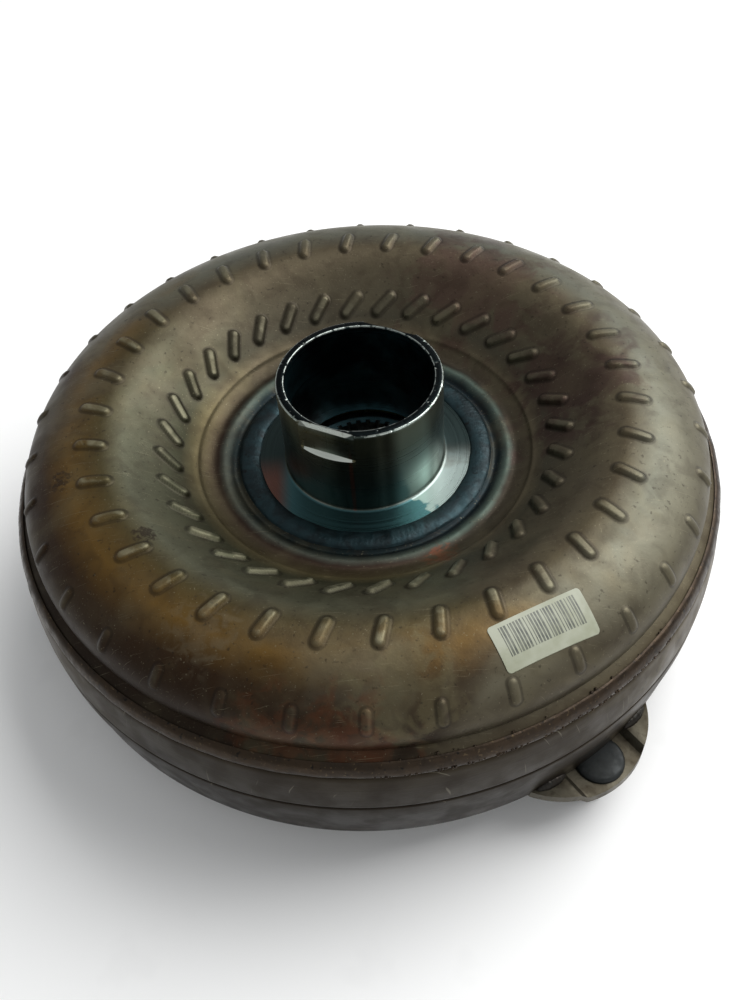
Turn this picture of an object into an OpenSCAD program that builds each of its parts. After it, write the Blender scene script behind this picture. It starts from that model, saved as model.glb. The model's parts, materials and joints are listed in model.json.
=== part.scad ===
// Torque converter with a lock-up clutch and torsional damper, millimetres.
// The converter's axis is Z and +Z points to the gearbox. The origin is on the axis, in the
// plane where the crank pilot's ground diameter begins above its chamfer.

/* [Overall] */
// Height of the pump hub's rim above the origin
overall_h = 110; // [108:1:114]
// Outside diameter of the front cover's wall
cover_od = 280.4; // [280:0.1:281]
// Height of the cover's front face above the origin
cover_face_z = 12; // [11:0.5:12.5]
// Thickness of the pressed steel shells
shell_t = 4; // [3.5:0.1:4.2]

/* [Pump hub] */
// Outside diameter of the pump hub
hub_od = 63; // [62.8:0.1:63.4]
// Bore of the pump hub
hub_bore_d = 56.2; // [56:0.1:57]
// Depth that each drive flat cuts into the hub
flat_depth = 2.1; // [1.5:0.1:2.4]
// Length of the drive flats from the rim
flat_len = 13; // [11:0.5:15]
// Direction that the first drive flat faces, in degrees
flat_angle = 243; // [0:1:360]

/* [Fluid coupling] */
// Number of vanes in the impeller
impeller_vanes = 34; // [28:1:36]
// Number of vanes in the turbine, not the impeller's number
turbine_vanes = 31; // [27:1:33]
// Thickness of the sheet that the vanes are pressed from
vane_t = 1.2; // [1:0.1:1.5]
// Number of cast vanes in the stator
stator_vanes = 19; // [15:1:21]

/* [One-way clutch] */
// Diameter of a roller
roller_d = 7; // [6.6:0.1:7]
// Outside diameter of the inner race
inner_race_od = 58; // [57:0.1:58.2]

/* [Lock-up clutch] */
// How far the clutch plate moves to release
release_travel = 1.2; // [1:0.1:1.4]
// Free turn of the damper each way, in degrees
damper_turn = 4; // [2:0.5:4]
// Outside diameter of a damper spring
spring_od = 11; // [9:0.5:11]
// Wire diameter of a damper spring
spring_wire = 2.2; // [1.8:0.1:2.4]
// Length of a damper spring as fitted
spring_len = 34; // [30:1:34]

/* [Flexplate mounting] */
// Diameter of the circle through the three mounting studs
stud_circle_d = 279; // [278:0.5:280]
// Direction of the first mounting lug, in degrees
lug_angle = 303.5; // [0:0.5:360]
// Thread diameter of the studs
stud_d = 10; // [8:1:10]
// Length of each stud below its shoulder
stud_len = 15.5; // [12:0.5:18]
// Diameter of the crank pilot
pilot_d = 42; // [40:0.5:44]

/* [Hidden] */
$fn = 96;

// Pump hub and the foot that is welded into the impeller shell
hub_r = hub_od / 2;
hub_bore_r = hub_bore_d / 2;
foot_top_z = 69.5;
foot_bottom_z = 64.5;
foot_r = 43;
hub_fillet = 1.5;

// Impeller shell: a dish of 36.7 degrees, a crest of two arcs and a closing rim
dish_angle = 36.7;
crest_r = 103.1;
crest_z = 95.5;
inner_arc = 22.8;
outer_arc = 38.1;
side_arc = 14;
side_arc_r = 118.9;
side_arc_z = 75.6;
arc_join_angle = 49;
rim_arc_end = -16;
skirt_r = 135.7;
skirt_bottom_z = 58;
ledge_z = 70.3;
lip_r = 67.2;
lip_z = 74.4;

// Front cover
cover_r = cover_od / 2;
cover_t = 5;
recess_z = 15.5;
cover_corner = 10;
cover_corner_r = 127.3;
cover_top_z = 64.2;
cover_top_r = 138.6;
cover_groove_z = 45.2;
boss_r = 24;
boss_proud = 0.5;
pilot_chamfer = 1.5;

// Mounting lugs
lug_z = 14.8;
lug_t = 3.8;
lug_press = 3;
lug_pad_half = 14.5;
lug_tip_r = 150.2;
lug_round_r = 34.4;
shoulder_z = cover_face_z - 1.5;
shoulder_r = 8;
head_r = 9.3;

// Sticker
label_angle = 296.8;
label_askew = -3.5;
label_mid_r = 117.8;
label_len = 34.6;
label_plan_w = 14.6;

// Turbine
turbine_crest_r = 103;
turbine_crest_z = 44;
turbine_arc = 25.9;
turbine_side_arc = 14;
turbine_side_r = 113.8;
turbine_side_z = 64.9;
turbine_t = 1.5;
core_mid_r = 101;
core_half_w = 14;
impeller_core_z = 72.8;
turbine_core_z = 69.2;

// Stack of the stator, its one-way clutch and its bearings
rollers = 8;
race_top_z = 58.8;
race_bottom_z = 48.9;
cap_t = 1.5;
roller_r = roller_d / 2;
inner_race_r = inner_race_od / 2;
fit_gap = 0.05;
roller_ring_r = inner_race_r + roller_r + fit_gap;

// Damper
spring_ring_r = 66;
spring_z = 32;
damper_springs_n = 6;
damper_barrel_r = 36;
damper_bottom_z = 22;
hub_spline_n = 30;
turbine_flange_z = 40.8;
shaft_bore_r = 14.5;
barrel_top_z = turbine_flange_z - release_travel - 1.1;
turbine_rivet_ring_r = 52;
turbine_rivets_n = 12;
retainer_rivet_ring_r = 87;
rivet_r = 2.55;
rivet_hole_r = 2.6;
lining_z = 17.1;

// Points along an arc of radius r about [cx, cz], from angle a0 to a1
function arc(cx, cz, r, a0, a1, n = 8) =
    [for (i = [0:n]) let (a = a0 + (a1 - a0) * i / n) [cx + r * cos(a), cz + r * sin(a)]];

// Direction of an impeller vane at radius r, from the middle of its pitch
function vane_lean(r) = 1.3 + 15.5 * exp(-(r - 76.6) / 22.3);

// Half an ellipse about [cx, cz], above it for up = 1 and below it for up = -1
function half_oval(cx, cz, a, b, up, n = 14) =
    [for (i = [0:n]) [cx + a * cos(180 * i / n), cz + up * b * sin(180 * i / n)]];

module ring(r_out, r_in, z0, z1) {
    translate([0, 0, z0]) difference() {
        cylinder(r = r_out, h = z1 - z0);
        translate([0, 0, -1]) cylinder(r = r_in, h = z1 - z0 + 2);
    }
}

module around(n, start = 0) {
    for (i = [0:n - 1]) rotate([0, 0, start + 360 * i / n]) children();
}

// A ring of n straight-sided spline teeth between radii r_in and r_out
module spline_teeth(n, r_in, r_out, width, z0, z1) {
    around(n) translate([r_in, -width / 2, z0]) cube([r_out - r_in, width, z1 - z0]);
}

// The torus half of the impeller shell, moved inward by d from its outside
function impeller_line(d) = concat(
    [[lip_r + 2.4 + d * sin(dish_angle), lip_z + 1.8 - d * cos(dish_angle)]],
    arc(crest_r, crest_z - inner_arc, inner_arc - d, 90 + dish_angle, 90, 6),
    arc(crest_r, crest_z - outer_arc, outer_arc - d, 90, arc_join_angle, 7),
    arc(side_arc_r, side_arc_z, side_arc - d, arc_join_angle, rim_arc_end, 8));

module impeller_shell() {
    valley = [[foot_r + 0.05, 69.3], [50.3, 69.3], [51.2, 68.4], [52.4, 68.4], [54.4, 70.2], [56.6, 71],
              [58.2, 70.6], [60.2, 70.2], [63, 71.1], [65.6, 72.7], [66.4, 74.1], [lip_r, lip_z]];
    rim = [[134.9, ledge_z], [skirt_r, ledge_z - 0.8], [skirt_r, skirt_bottom_z],
           [skirt_r - 4.2, skirt_bottom_z], [skirt_r - 4.2, 69]];
    inside = impeller_line(shell_t);
    last = len(inside) - 1;
    foot = [[57, 64.9], [foot_r + 0.05, 64.9]];
    color("dimgray") rotate_extrude(convexity = 6)
        polygon(concat(valley, impeller_line(0), rim, [for (i = [0:last]) inside[last - i]], foot));
}

module impeller_hub() {
    color("lightsteelblue") difference() {
        rotate_extrude() polygon(concat(
            [[hub_bore_r, foot_bottom_z], [foot_r, foot_bottom_z], [foot_r, foot_top_z]],
            arc(hub_r + hub_fillet, foot_top_z + hub_fillet, hub_fillet, 270, 180, 5),
            [[hub_r, overall_h - 0.8], [hub_r - 0.8, overall_h], [hub_bore_r + 0.6, overall_h],
             [hub_bore_r, overall_h - 0.6]]));
        for (a = [0, 180]) rotate([0, 0, flat_angle + a])
            translate([hub_r - flat_depth, -hub_r, overall_h - flat_len])
                cube([hub_r, hub_od, flat_len + 1]);
    }
}

module hub_weld() {
    color("darkslategray") rotate_extrude()
        polygon([[42.2, 69.55], [foot_r + 0.3, 69.55], [50.2, 69.35], [49.9, 70.1], [47, 70.7],
                 [44.5, 70.6], [42.4, 70.1]]);
}

// Straight-walled vanes that follow the lean formula, before they are trimmed to the passage
module vane_strips(n, z0, z1, r0, r1, hand) {
    steps = 9;
    side = [for (i = [0:steps]) r0 + (r1 - r0) * i / steps];
    around(n) translate([0, 0, z0]) linear_extrude(z1 - z0) polygon(concat(
        [for (r = side) let (a = hand * vane_lean(r))
            [r * cos(a) - vane_t / 2 * sin(a), r * sin(a) + vane_t / 2 * cos(a)]],
        [for (i = [0:steps]) let (r = side[steps - i], a = hand * vane_lean(r))
            [r * cos(a) + vane_t / 2 * sin(a), r * sin(a) - vane_t / 2 * cos(a)]]));
}

module impeller_vanes() {
    inside = impeller_line(shell_t + 0.15);
    color("peru") intersection() {
        vane_strips(impeller_vanes, impeller_core_z, 92, 70, 129, 1);
        rotate_extrude(convexity = 4) polygon(concat(
            [[72.2, impeller_core_z]], inside, [[core_mid_r + core_half_w + 0.2, impeller_core_z]],
            half_oval(core_mid_r, impeller_core_z, core_half_w + 0.2, 9.2, 1)));
    }
}

module impeller_core_ring() {
    color("tan") rotate_extrude(convexity = 4) polygon(concat(
        half_oval(core_mid_r, impeller_core_z, core_half_w, 9, 1),
        [for (i = [0:14]) half_oval(core_mid_r, impeller_core_z, core_half_w - 1, 8, 1)[14 - i]]));
}

// Corner and lower wall of the cover, moved inward by d
function cover_line(d) = concat(
    arc(cover_corner_r, cover_face_z + cover_corner, cover_corner - d, 270, 352, 8),
    [[138.4 - d, 29], [139.7 - d, 37], [cover_r - d, cover_groove_z - 0.8]]);

module front_cover() {
    outside = concat(
        [[boss_r + 0.05, cover_face_z], [44, cover_face_z], [48, recess_z], [97, recess_z],
         [101, cover_face_z]],
        cover_line(0),
        [[cover_r - 0.7, cover_groove_z], [cover_r, cover_groove_z + 0.6], [cover_r - 0.3, 55],
         [cover_top_r + 0.3, 62.5], [cover_top_r - 0.4, cover_top_z]]);
    lower = cover_line(cover_t);
    last = len(lower) - 1;
    inside = concat(
        [[skirt_r + 0.1, cover_top_z], [skirt_r + 0.1, 52], [cover_r - cover_t, 49]],
        [for (i = [0:last]) lower[last - i]],
        [[103, cover_face_z + cover_t], [99, recess_z + cover_t], [46, recess_z + cover_t],
         [42, cover_face_z + cover_t],
         [boss_r + 0.05, cover_face_z + cover_t]]);
    color("gray") rotate_extrude(convexity = 6) polygon(concat(outside, inside));
}

module closing_weld() {
    color("saddlebrown") rotate_extrude()
        polygon([[skirt_r + 0.05, cover_top_z + 0.05], [cover_top_r - 0.5, cover_top_z + 0.05],
                 [138.5, 66.2], [137.5, 69], [136.6, 70.1], [skirt_r + 0.05, 69.9]]);
}

module crank_pilot() {
    pilot_r = pilot_d / 2;
    flange_top_z = cover_face_z + cover_t;
    color("silver") rotate_extrude() polygon([
        [0, 0.7], [5, 0.7], [6.2, -pilot_chamfer], [pilot_r - pilot_chamfer, -pilot_chamfer],
        [pilot_r, 0], [pilot_r, cover_face_z - boss_proud], [boss_r, cover_face_z - boss_proud],
        [boss_r, flange_top_z], [0, flange_top_z]]);
}

module pilot_weld() {
    color("darkslategray") rotate_extrude()
        polygon([[boss_r - 0.8, cover_face_z - 0.55], [boss_r + 0.02, cover_face_z - 0.55],
                 [boss_r + 0.1, cover_face_z - 0.05], [boss_r + 2.4, cover_face_z - 0.05],
                 [boss_r + 0.9, cover_face_z - 1.1], [boss_r - 0.2, cover_face_z - 1.3]]);
}

// The space that the cover takes up, with a gap, for what is welded against its corner
module cover_clearance() {
    rotate_extrude() polygon(concat([[100, 48], [100, cover_face_z - 0.05]], cover_line(-0.05)));
}

// Outline of a lug's plate: a disc set back from the stud circle, squared off under the cover
module lug_outline() {
    intersection() {
        translate([lug_tip_r - lug_round_r, 0]) circle(r = lug_round_r);
        translate([126, -32]) square([40, 64]);
    }
}

module mounting_lug() {
    translate([0, 0, lug_z]) difference() {
        linear_extrude(lug_t + lug_press) lug_outline();
        // The middle of the plate is pressed down between two wings
        translate([120, -lug_pad_half, lug_t]) cube([40, 2 * lug_pad_half, 10]);
        for (s = [-1, 1]) translate([120, s * (lug_pad_half + 21.5) - 20, -1])
            cube([40, 40, lug_press + 1]);
        translate([stud_circle_d / 2, 0, -1]) cylinder(d = stud_d + 0.1, h = 20);
    }
}

module mounting_lugs() {
    color("gray") difference() {
        around(3, lug_angle) mounting_lug();
        cover_clearance();
    }
}

module mounting_studs() {
    top_z = lug_z + lug_t;
    color("slategray") difference() {
        around(3, lug_angle) translate([stud_circle_d / 2, 0, 0]) {
            translate([0, 0, shoulder_z - stud_len]) cylinder(d1 = stud_d - 2, d2 = stud_d, h = 1);
            translate([0, 0, shoulder_z - stud_len + 1])
                cylinder(d = stud_d, h = top_z - shoulder_z + stud_len);
            translate([0, 0, shoulder_z]) cylinder(r = shoulder_r, h = lug_z - shoulder_z - 0.05);
            translate([0, 0, top_z + 0.05]) cylinder(r = head_r, h = 1.5);
            translate([0, 0, top_z + 1.55]) cylinder(r1 = head_r, r2 = head_r - 0.6, h = 0.5);
        }
        cover_clearance();
    }
}

module lug_welds() {
    wing_z = lug_z + lug_t + lug_press;
    color("darkslategray") around(3, lug_angle) for (s = [-1, 1]) rotate([0, 0, s * 8.6 - 2.2])
        rotate_extrude(angle = 4.4)
            polygon([[137.45, wing_z + 0.1], [140.8, wing_z + 0.1], [138.05, 25.8]]);
}

module balance_weight() {
    color("silver") rotate([0, 0, lug_angle - 60]) translate([72, -11, 14.1]) cube([16, 22, 1.35]);
}

// A sticker that follows the outer arc of the shell, set a little askew
module barcode_label() {
    color("ivory") intersection() {
        rotate_extrude() polygon(concat(
            arc(crest_r, crest_z - outer_arc, outer_arc + 0.35, 84, 46, 10),
            arc(crest_r, crest_z - outer_arc, outer_arc + 0.05, 46, 84, 10)));
        rotate([0, 0, label_angle]) translate([label_mid_r, 0, crest_z]) rotate([0, 0, label_askew])
            cube([label_plan_w, label_len, 40], center = true);
    }
}

module rear_bearing_race() {
    color("silver") ring(42, 32, 62.9, 64.4);
}

// The lower side of the turbine shell, moved inward by d
function turbine_line(d) = concat(
    [[78, 44.8 + d], [86, turbine_crest_z + d]],
    arc(turbine_crest_r, turbine_crest_z + turbine_arc, turbine_arc - d, 270, 335.2, 7),
    arc(turbine_side_r, turbine_side_z, turbine_side_arc - d, -24.8, 18.3, 6));

module turbine_rivet_holes() {
    around(turbine_rivets_n) translate([turbine_rivet_ring_r, 0, 40])
        cylinder(r = rivet_hole_r, h = 10, $fn = 32);
}

module turbine_shell() {
    inside = turbine_line(turbine_t);
    last = len(inside) - 1;
    color("slategray") difference() {
        rotate_extrude(convexity = 6) polygon(concat(
            [[40, 44.8]], turbine_line(0), [for (i = [0:last]) inside[last - i]],
            [[40, 44.8 + turbine_t]]));
        turbine_rivet_holes();
    }
}

module turbine_vanes() {
    color("burlywood") intersection() {
        vane_strips(turbine_vanes, 44, turbine_core_z, 73, 129, -1);
        rotate_extrude(convexity = 4) polygon(concat(
            [[76, 49]], [[76, 46.5]], turbine_line(turbine_t + 0.15),
            [[core_mid_r + core_half_w + 0.2, turbine_core_z]],
            half_oval(core_mid_r, turbine_core_z, core_half_w + 0.2, 11.2, -1), [[86.4, 62.4]]));
    }
}

module turbine_core_ring() {
    color("tan") rotate_extrude(convexity = 4) polygon(concat(
        half_oval(core_mid_r, turbine_core_z, core_half_w, 11, -1),
        [for (i = [0:14]) half_oval(core_mid_r, turbine_core_z, core_half_w - 1, 10, -1)[14 - i]]));
}

module turbine_hub() {
    color("steelblue") difference() {
        union() {
            ring(60, shaft_bore_r, turbine_flange_z, 44.7);
            ring(37.3, shaft_bore_r, 44.6, 44.8);
            ring(26, shaft_bore_r, 19.8, 41);
            spline_teeth(hub_spline_n, 25.8, 28.4, 2.6, damper_bottom_z, turbine_flange_z + 0.1);
            spline_teeth(24, 13.2, shaft_bore_r + 0.2, 1.7, 21, 44.8);
        }
        turbine_rivet_holes();
    }
}

module turbine_rivets() {
    color("silver") around(turbine_rivets_n) translate([turbine_rivet_ring_r, 0, 0]) {
        translate([0, 0, 39.6]) cylinder(r1 = 3.2, r2 = 4.4, h = 1.15, $fn = 32);
        translate([0, 0, 40.7]) cylinder(r = rivet_r, h = 5.7, $fn = 32);
        translate([0, 0, 46.35]) cylinder(r1 = 4.4, r2 = 3.4, h = 1.1, $fn = 32);
    }
}

module thrust_washer() {
    color("khaki") difference() {
        ring(26, 16, 17.1, 19.7);
        around(6) translate([14, -1.2, 17]) cube([14, 2.4, 0.9]);
    }
}

module stator_wheel() {
    color("lightgray") {
        difference() {
            rotate_extrude() polygon([[44, 48.3], [59.5, 48.3], [60.5, 49.3], [61, 55.6], [60.8, 63.2],
                                      [59, 63.9], [44, 60.4]]);
            around(4) translate([43.5, -3, 48]) cube([2.6, 6, 13]);
        }
        // Cambered vanes between the hub and the outer ring
        intersection() {
            around(stator_vanes) translate([59, 0, 0]) rotate([90, 0, 90]) linear_extrude(28)
                polygon(concat(arc(-7, 62, 9.5, -35, 45, 7), arc(-10.5, 62, 11.4, 38, -30, 7)));
            rotate_extrude() polygon([[60.9, 55.6], [78.5, 55.5], [84.2, 62.9], [84.2, 69.6],
                                      [70, 69.2], [63, 66], [60.7, 63.4]]);
        }
        rotate_extrude() polygon([[84.1, 62.8], [85.8, 65], [85.8, 69.6], [84.1, 69.6]]);
    }
}

module clutch_outer_race() {
    color("slategray") difference() {
        union() {
            ring(43.95, 33.4, race_bottom_z, race_top_z);
            around(4) translate([43.5, -2.9, race_bottom_z])
                cube([2.3, 5.8, race_top_z - race_bottom_z]);
        }
        // A cam pocket for each roller and its spring
        around(rollers) {
            translate([roller_ring_r, 0, 48]) cylinder(r = roller_r + fit_gap, h = 12);
            rotate([0, 0, 9]) translate([30, -4.6, 48]) cube([5, 8.6, 12]);
        }
    }
}

// A folded strip behind each roller, four leaves joined at alternate ends
module clutch_springs() {
    fold = 0.95;
    color("gold") around(rollers, 8.2) translate([32.7, 0, 50.5]) linear_extrude(6.5)
        for (i = [0:3]) translate([0, fold * i]) rotate(i % 2 == 0 ? 15 : -15)
            square([3.8, 0.3], center = true);
}

module stator_rear_cap() {
    color("silver") ring(43.8, 30, race_top_z + 0.1, race_top_z + 0.1 + cap_t);
}

module stator_front_cap() {
    color("silver") ring(43.8, 26, race_bottom_z - 0.1 - cap_t, race_bottom_z - 0.1);
}

module inner_race() {
    color("lightsteelblue") {
        ring(inner_race_r, 24.3, race_bottom_z + 0.1, 62.2);
        spline_teeth(36, 22.8, 24.5, 2.2, race_bottom_z + 0.1, 62.2);
    }
}

module bearing_cage(n, r_in, r_out, z0, z1, needle_r) {
    difference() {
        ring(r_out, r_in, z0, z1);
        around(n) translate([r_in + 1.2, -needle_r - 0.05, z0 - 1])
            cube([r_out - r_in - 2.4, 2 * needle_r + 0.1, z1 - z0 + 2]);
    }
}

module bearing_needles(n, r_in, r_out, z_mid, needle_r) {
    around(n) translate([r_in + 1.3, 0, z_mid]) rotate([0, 90, 0])
        cylinder(r = needle_r, h = r_out - r_in - 2.6, $fn = 24);
}

module rear_bearing_cage() {
    color("goldenrod") bearing_cage(24, 32.5, 41.5, 60.9, 62.3, 1.15);
}

module rear_bearing_needles() {
    color("silver") bearing_needles(24, 32.5, 41.5, 61.65, 1.15);
}

module front_bearing_cage() {
    color("goldenrod") bearing_cage(20, 27, 36.5, 45.4, 46.7, 1.1);
}

module front_bearing_needles() {
    color("silver") bearing_needles(20, 27, 36.5, 46.05, 1.1);
}

// One roller of the one-way clutch, i counted from zero
module clutch_roller(i) {
    color("whitesmoke") rotate([0, 0, 360 * i / rollers])
        translate([roller_ring_r, 0, race_bottom_z + 0.15])
            cylinder(r = roller_r, h = race_top_z - race_bottom_z - 0.3);
}

// A window in the damper's driven plate, longer than its spring by the free turn each way
module spring_window() {
    half_w = spring_od / 2 + 3.2;
    half_len = spring_len / 2 + spring_ring_r * sin(damper_turn) + 1.2;
    translate([spring_ring_r - half_w, -half_len, 20]) cube([2 * half_w, 2 * half_len, 30]);
}

module damper_hub() {
    color("cadetblue") difference() {
        union() {
            ring(damper_barrel_r, 28.55, damper_bottom_z, barrel_top_z);
            // The teeth sit in the gaps between the turbine hub's teeth
            rotate(180 / hub_spline_n)
                spline_teeth(hub_spline_n, 26.1, 28.7, 2.1, damper_bottom_z + 0.2, barrel_top_z - 0.2);
            ring(82, damper_barrel_r - 1, 30.5, 33.5);
        }
        ring(40, 34.6, 22.8, 24.6);
        around(damper_springs_n) spring_window();
    }
}

module piston_seal_ring() {
    color("black") ring(35.95, 34.65, 22.9, 24.5);
}

module retainer_rivet_holes(z) {
    around(damper_springs_n, 30) translate([retainer_rivet_ring_r, 0, z])
        cylinder(r = rivet_hole_r, h = 10, $fn = 32);
}

module piston_plate() {
    color("lightslategray") difference() {
        rotate_extrude(convexity = 4) polygon([
            [36.05, 21.9], [99, 21.9], [103.5, 18.5], [129, 18.5], [129.6, 19.2], [129.6, 23.5],
            [127.4, 23.5], [127.4, 21.4], [104.7, 21.4], [100.2, 24.9], [40.5, 24.9], [39.5, 26.4],
            [36.05, 26.4]]);
        retainer_rivet_holes(20);
    }
}

module friction_lining() {
    color("darkkhaki") difference() {
        ring(127.8, 105, lining_z, 18.45);
        around(18) translate([104, -1, lining_z - 1]) cube([26, 2, 1.6]);
    }
}

module spring_retainer() {
    color("slategray") difference() {
        ring(92, 54, 35, 36.6);
        around(damper_springs_n) translate([spring_ring_r, 0, 35])
            cube([spring_od + 0.2, spring_len + 0.4, 10], center = true);
        retainer_rivet_holes(30);
    }
}

module retainer_rivets() {
    color("silver") around(damper_springs_n, 30) translate([retainer_rivet_ring_r, 0, 0]) {
        translate([0, 0, 21.3]) cylinder(r = rivet_r, h = 3.7, $fn = 32);
        translate([0, 0, 24.95]) cylinder(r = 4.2, h = 10, $fn = 32);
        translate([0, 0, 34.9]) cylinder(r = rivet_r, h = 1.8, $fn = 32);
        translate([0, 0, 36.65]) cylinder(r1 = 4.2, r2 = 3.2, h = 1.2, $fn = 32);
    }
}

// Each spring is a plain sleeve of the coil's outside and inside diameter
module damper_springs() {
    color("darkgreen") around(damper_springs_n) translate([spring_ring_r, spring_len / 2, spring_z])
        rotate([90, 0, 0]) difference() {
            cylinder(d = spring_od, h = spring_len, $fn = 48);
            translate([0, 0, -1])
                cylinder(d = spring_od - 2 * spring_wire, h = spring_len + 2, $fn = 48);
        }
}

impeller_shell();
impeller_hub();
hub_weld();
impeller_vanes();
impeller_core_ring();
front_cover();
closing_weld();
crank_pilot();
pilot_weld();
mounting_lugs();
mounting_studs();
lug_welds();
balance_weight();
barcode_label();
rear_bearing_race();
turbine_shell();
turbine_vanes();
turbine_core_ring();
turbine_hub();
turbine_rivets();
thrust_washer();
stator_wheel();
clutch_outer_race();
clutch_springs();
stator_rear_cap();
stator_front_cap();
inner_race();
rear_bearing_cage();
rear_bearing_needles();
front_bearing_cage();
front_bearing_needles();
clutch_roller(0);  // roller_1
clutch_roller(1);  // roller_2
clutch_roller(2);  // roller_3
clutch_roller(3);  // roller_4
clutch_roller(4);  // roller_5
clutch_roller(5);  // roller_6
clutch_roller(6);  // roller_7
clutch_roller(7);  // roller_8
damper_hub();
piston_seal_ring();
piston_plate();
friction_lining();
spring_retainer();
retainer_rivets();
damper_springs();
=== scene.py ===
import json
import logging
import math
from dataclasses import dataclass
from enum import Enum

import bmesh
import bpy
import numpy as np
from mathutils import Matrix, Vector, noise


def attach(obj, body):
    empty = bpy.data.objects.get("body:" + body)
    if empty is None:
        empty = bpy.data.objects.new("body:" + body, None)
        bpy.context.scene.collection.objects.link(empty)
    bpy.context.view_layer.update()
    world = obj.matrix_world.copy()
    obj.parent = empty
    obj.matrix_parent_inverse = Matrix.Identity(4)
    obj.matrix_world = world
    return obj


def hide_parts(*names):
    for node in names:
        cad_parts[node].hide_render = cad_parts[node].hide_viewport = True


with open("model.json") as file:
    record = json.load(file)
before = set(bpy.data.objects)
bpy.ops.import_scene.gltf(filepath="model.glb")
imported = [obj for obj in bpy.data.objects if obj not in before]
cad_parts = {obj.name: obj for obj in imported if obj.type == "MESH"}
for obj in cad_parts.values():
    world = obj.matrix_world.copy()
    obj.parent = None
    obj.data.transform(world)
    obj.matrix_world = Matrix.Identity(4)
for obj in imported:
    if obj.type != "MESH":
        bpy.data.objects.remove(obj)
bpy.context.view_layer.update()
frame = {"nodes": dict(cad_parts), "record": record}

log = logging.getLogger("torque_converter")

MM = 0.001
RUN = "run"
PRESS = "press"

Socket = bpy.types.NodeSocket
Point = tuple[float, float]
Ring = tuple[float, float, int]
Faces = list[tuple[int, ...]]
Solid = tuple[np.ndarray, Faces]
Moved = tuple[np.ndarray, np.ndarray]


# ---------------------------------------------------------------- nodes and colours

def srgb(code: str) -> tuple[float, float, float, float]:
    """Turn a colour into the linear values that a shader socket takes.

    Args:
        code: An sRGB colour such as "#8a7d68".

    Returns:
        Linear red, green, blue and an alpha of one.
    """
    channels = [int(code[i:i + 2], 16) / 255 for i in (1, 3, 5)]
    linear = [c / 12.92 if c <= 0.04045 else ((c + 0.055) / 1.055) ** 2.4 for c in channels]
    return (*linear, 1.0)


def add_node(tree: bpy.types.NodeTree, kind: str, inputs: dict | None = None,
             **settings) -> bpy.types.Node:
    """Add a node with its settings and its links.

    Args:
        tree: The tree that gets the node.
        kind: The node's type name.
        inputs: What goes into each input, by name or index: a socket is linked, a value is set.
        settings: The node's own properties.

    Returns:
        The new node.
    """
    node = tree.nodes.new(kind)
    for key, value in settings.items():
        setattr(node, key, value)
    for key, value in (inputs or {}).items():
        if isinstance(value, bpy.types.NodeSocket):
            tree.links.new(value, node.inputs[key])
        else:
            node.inputs[key].default_value = value
    return node


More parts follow.
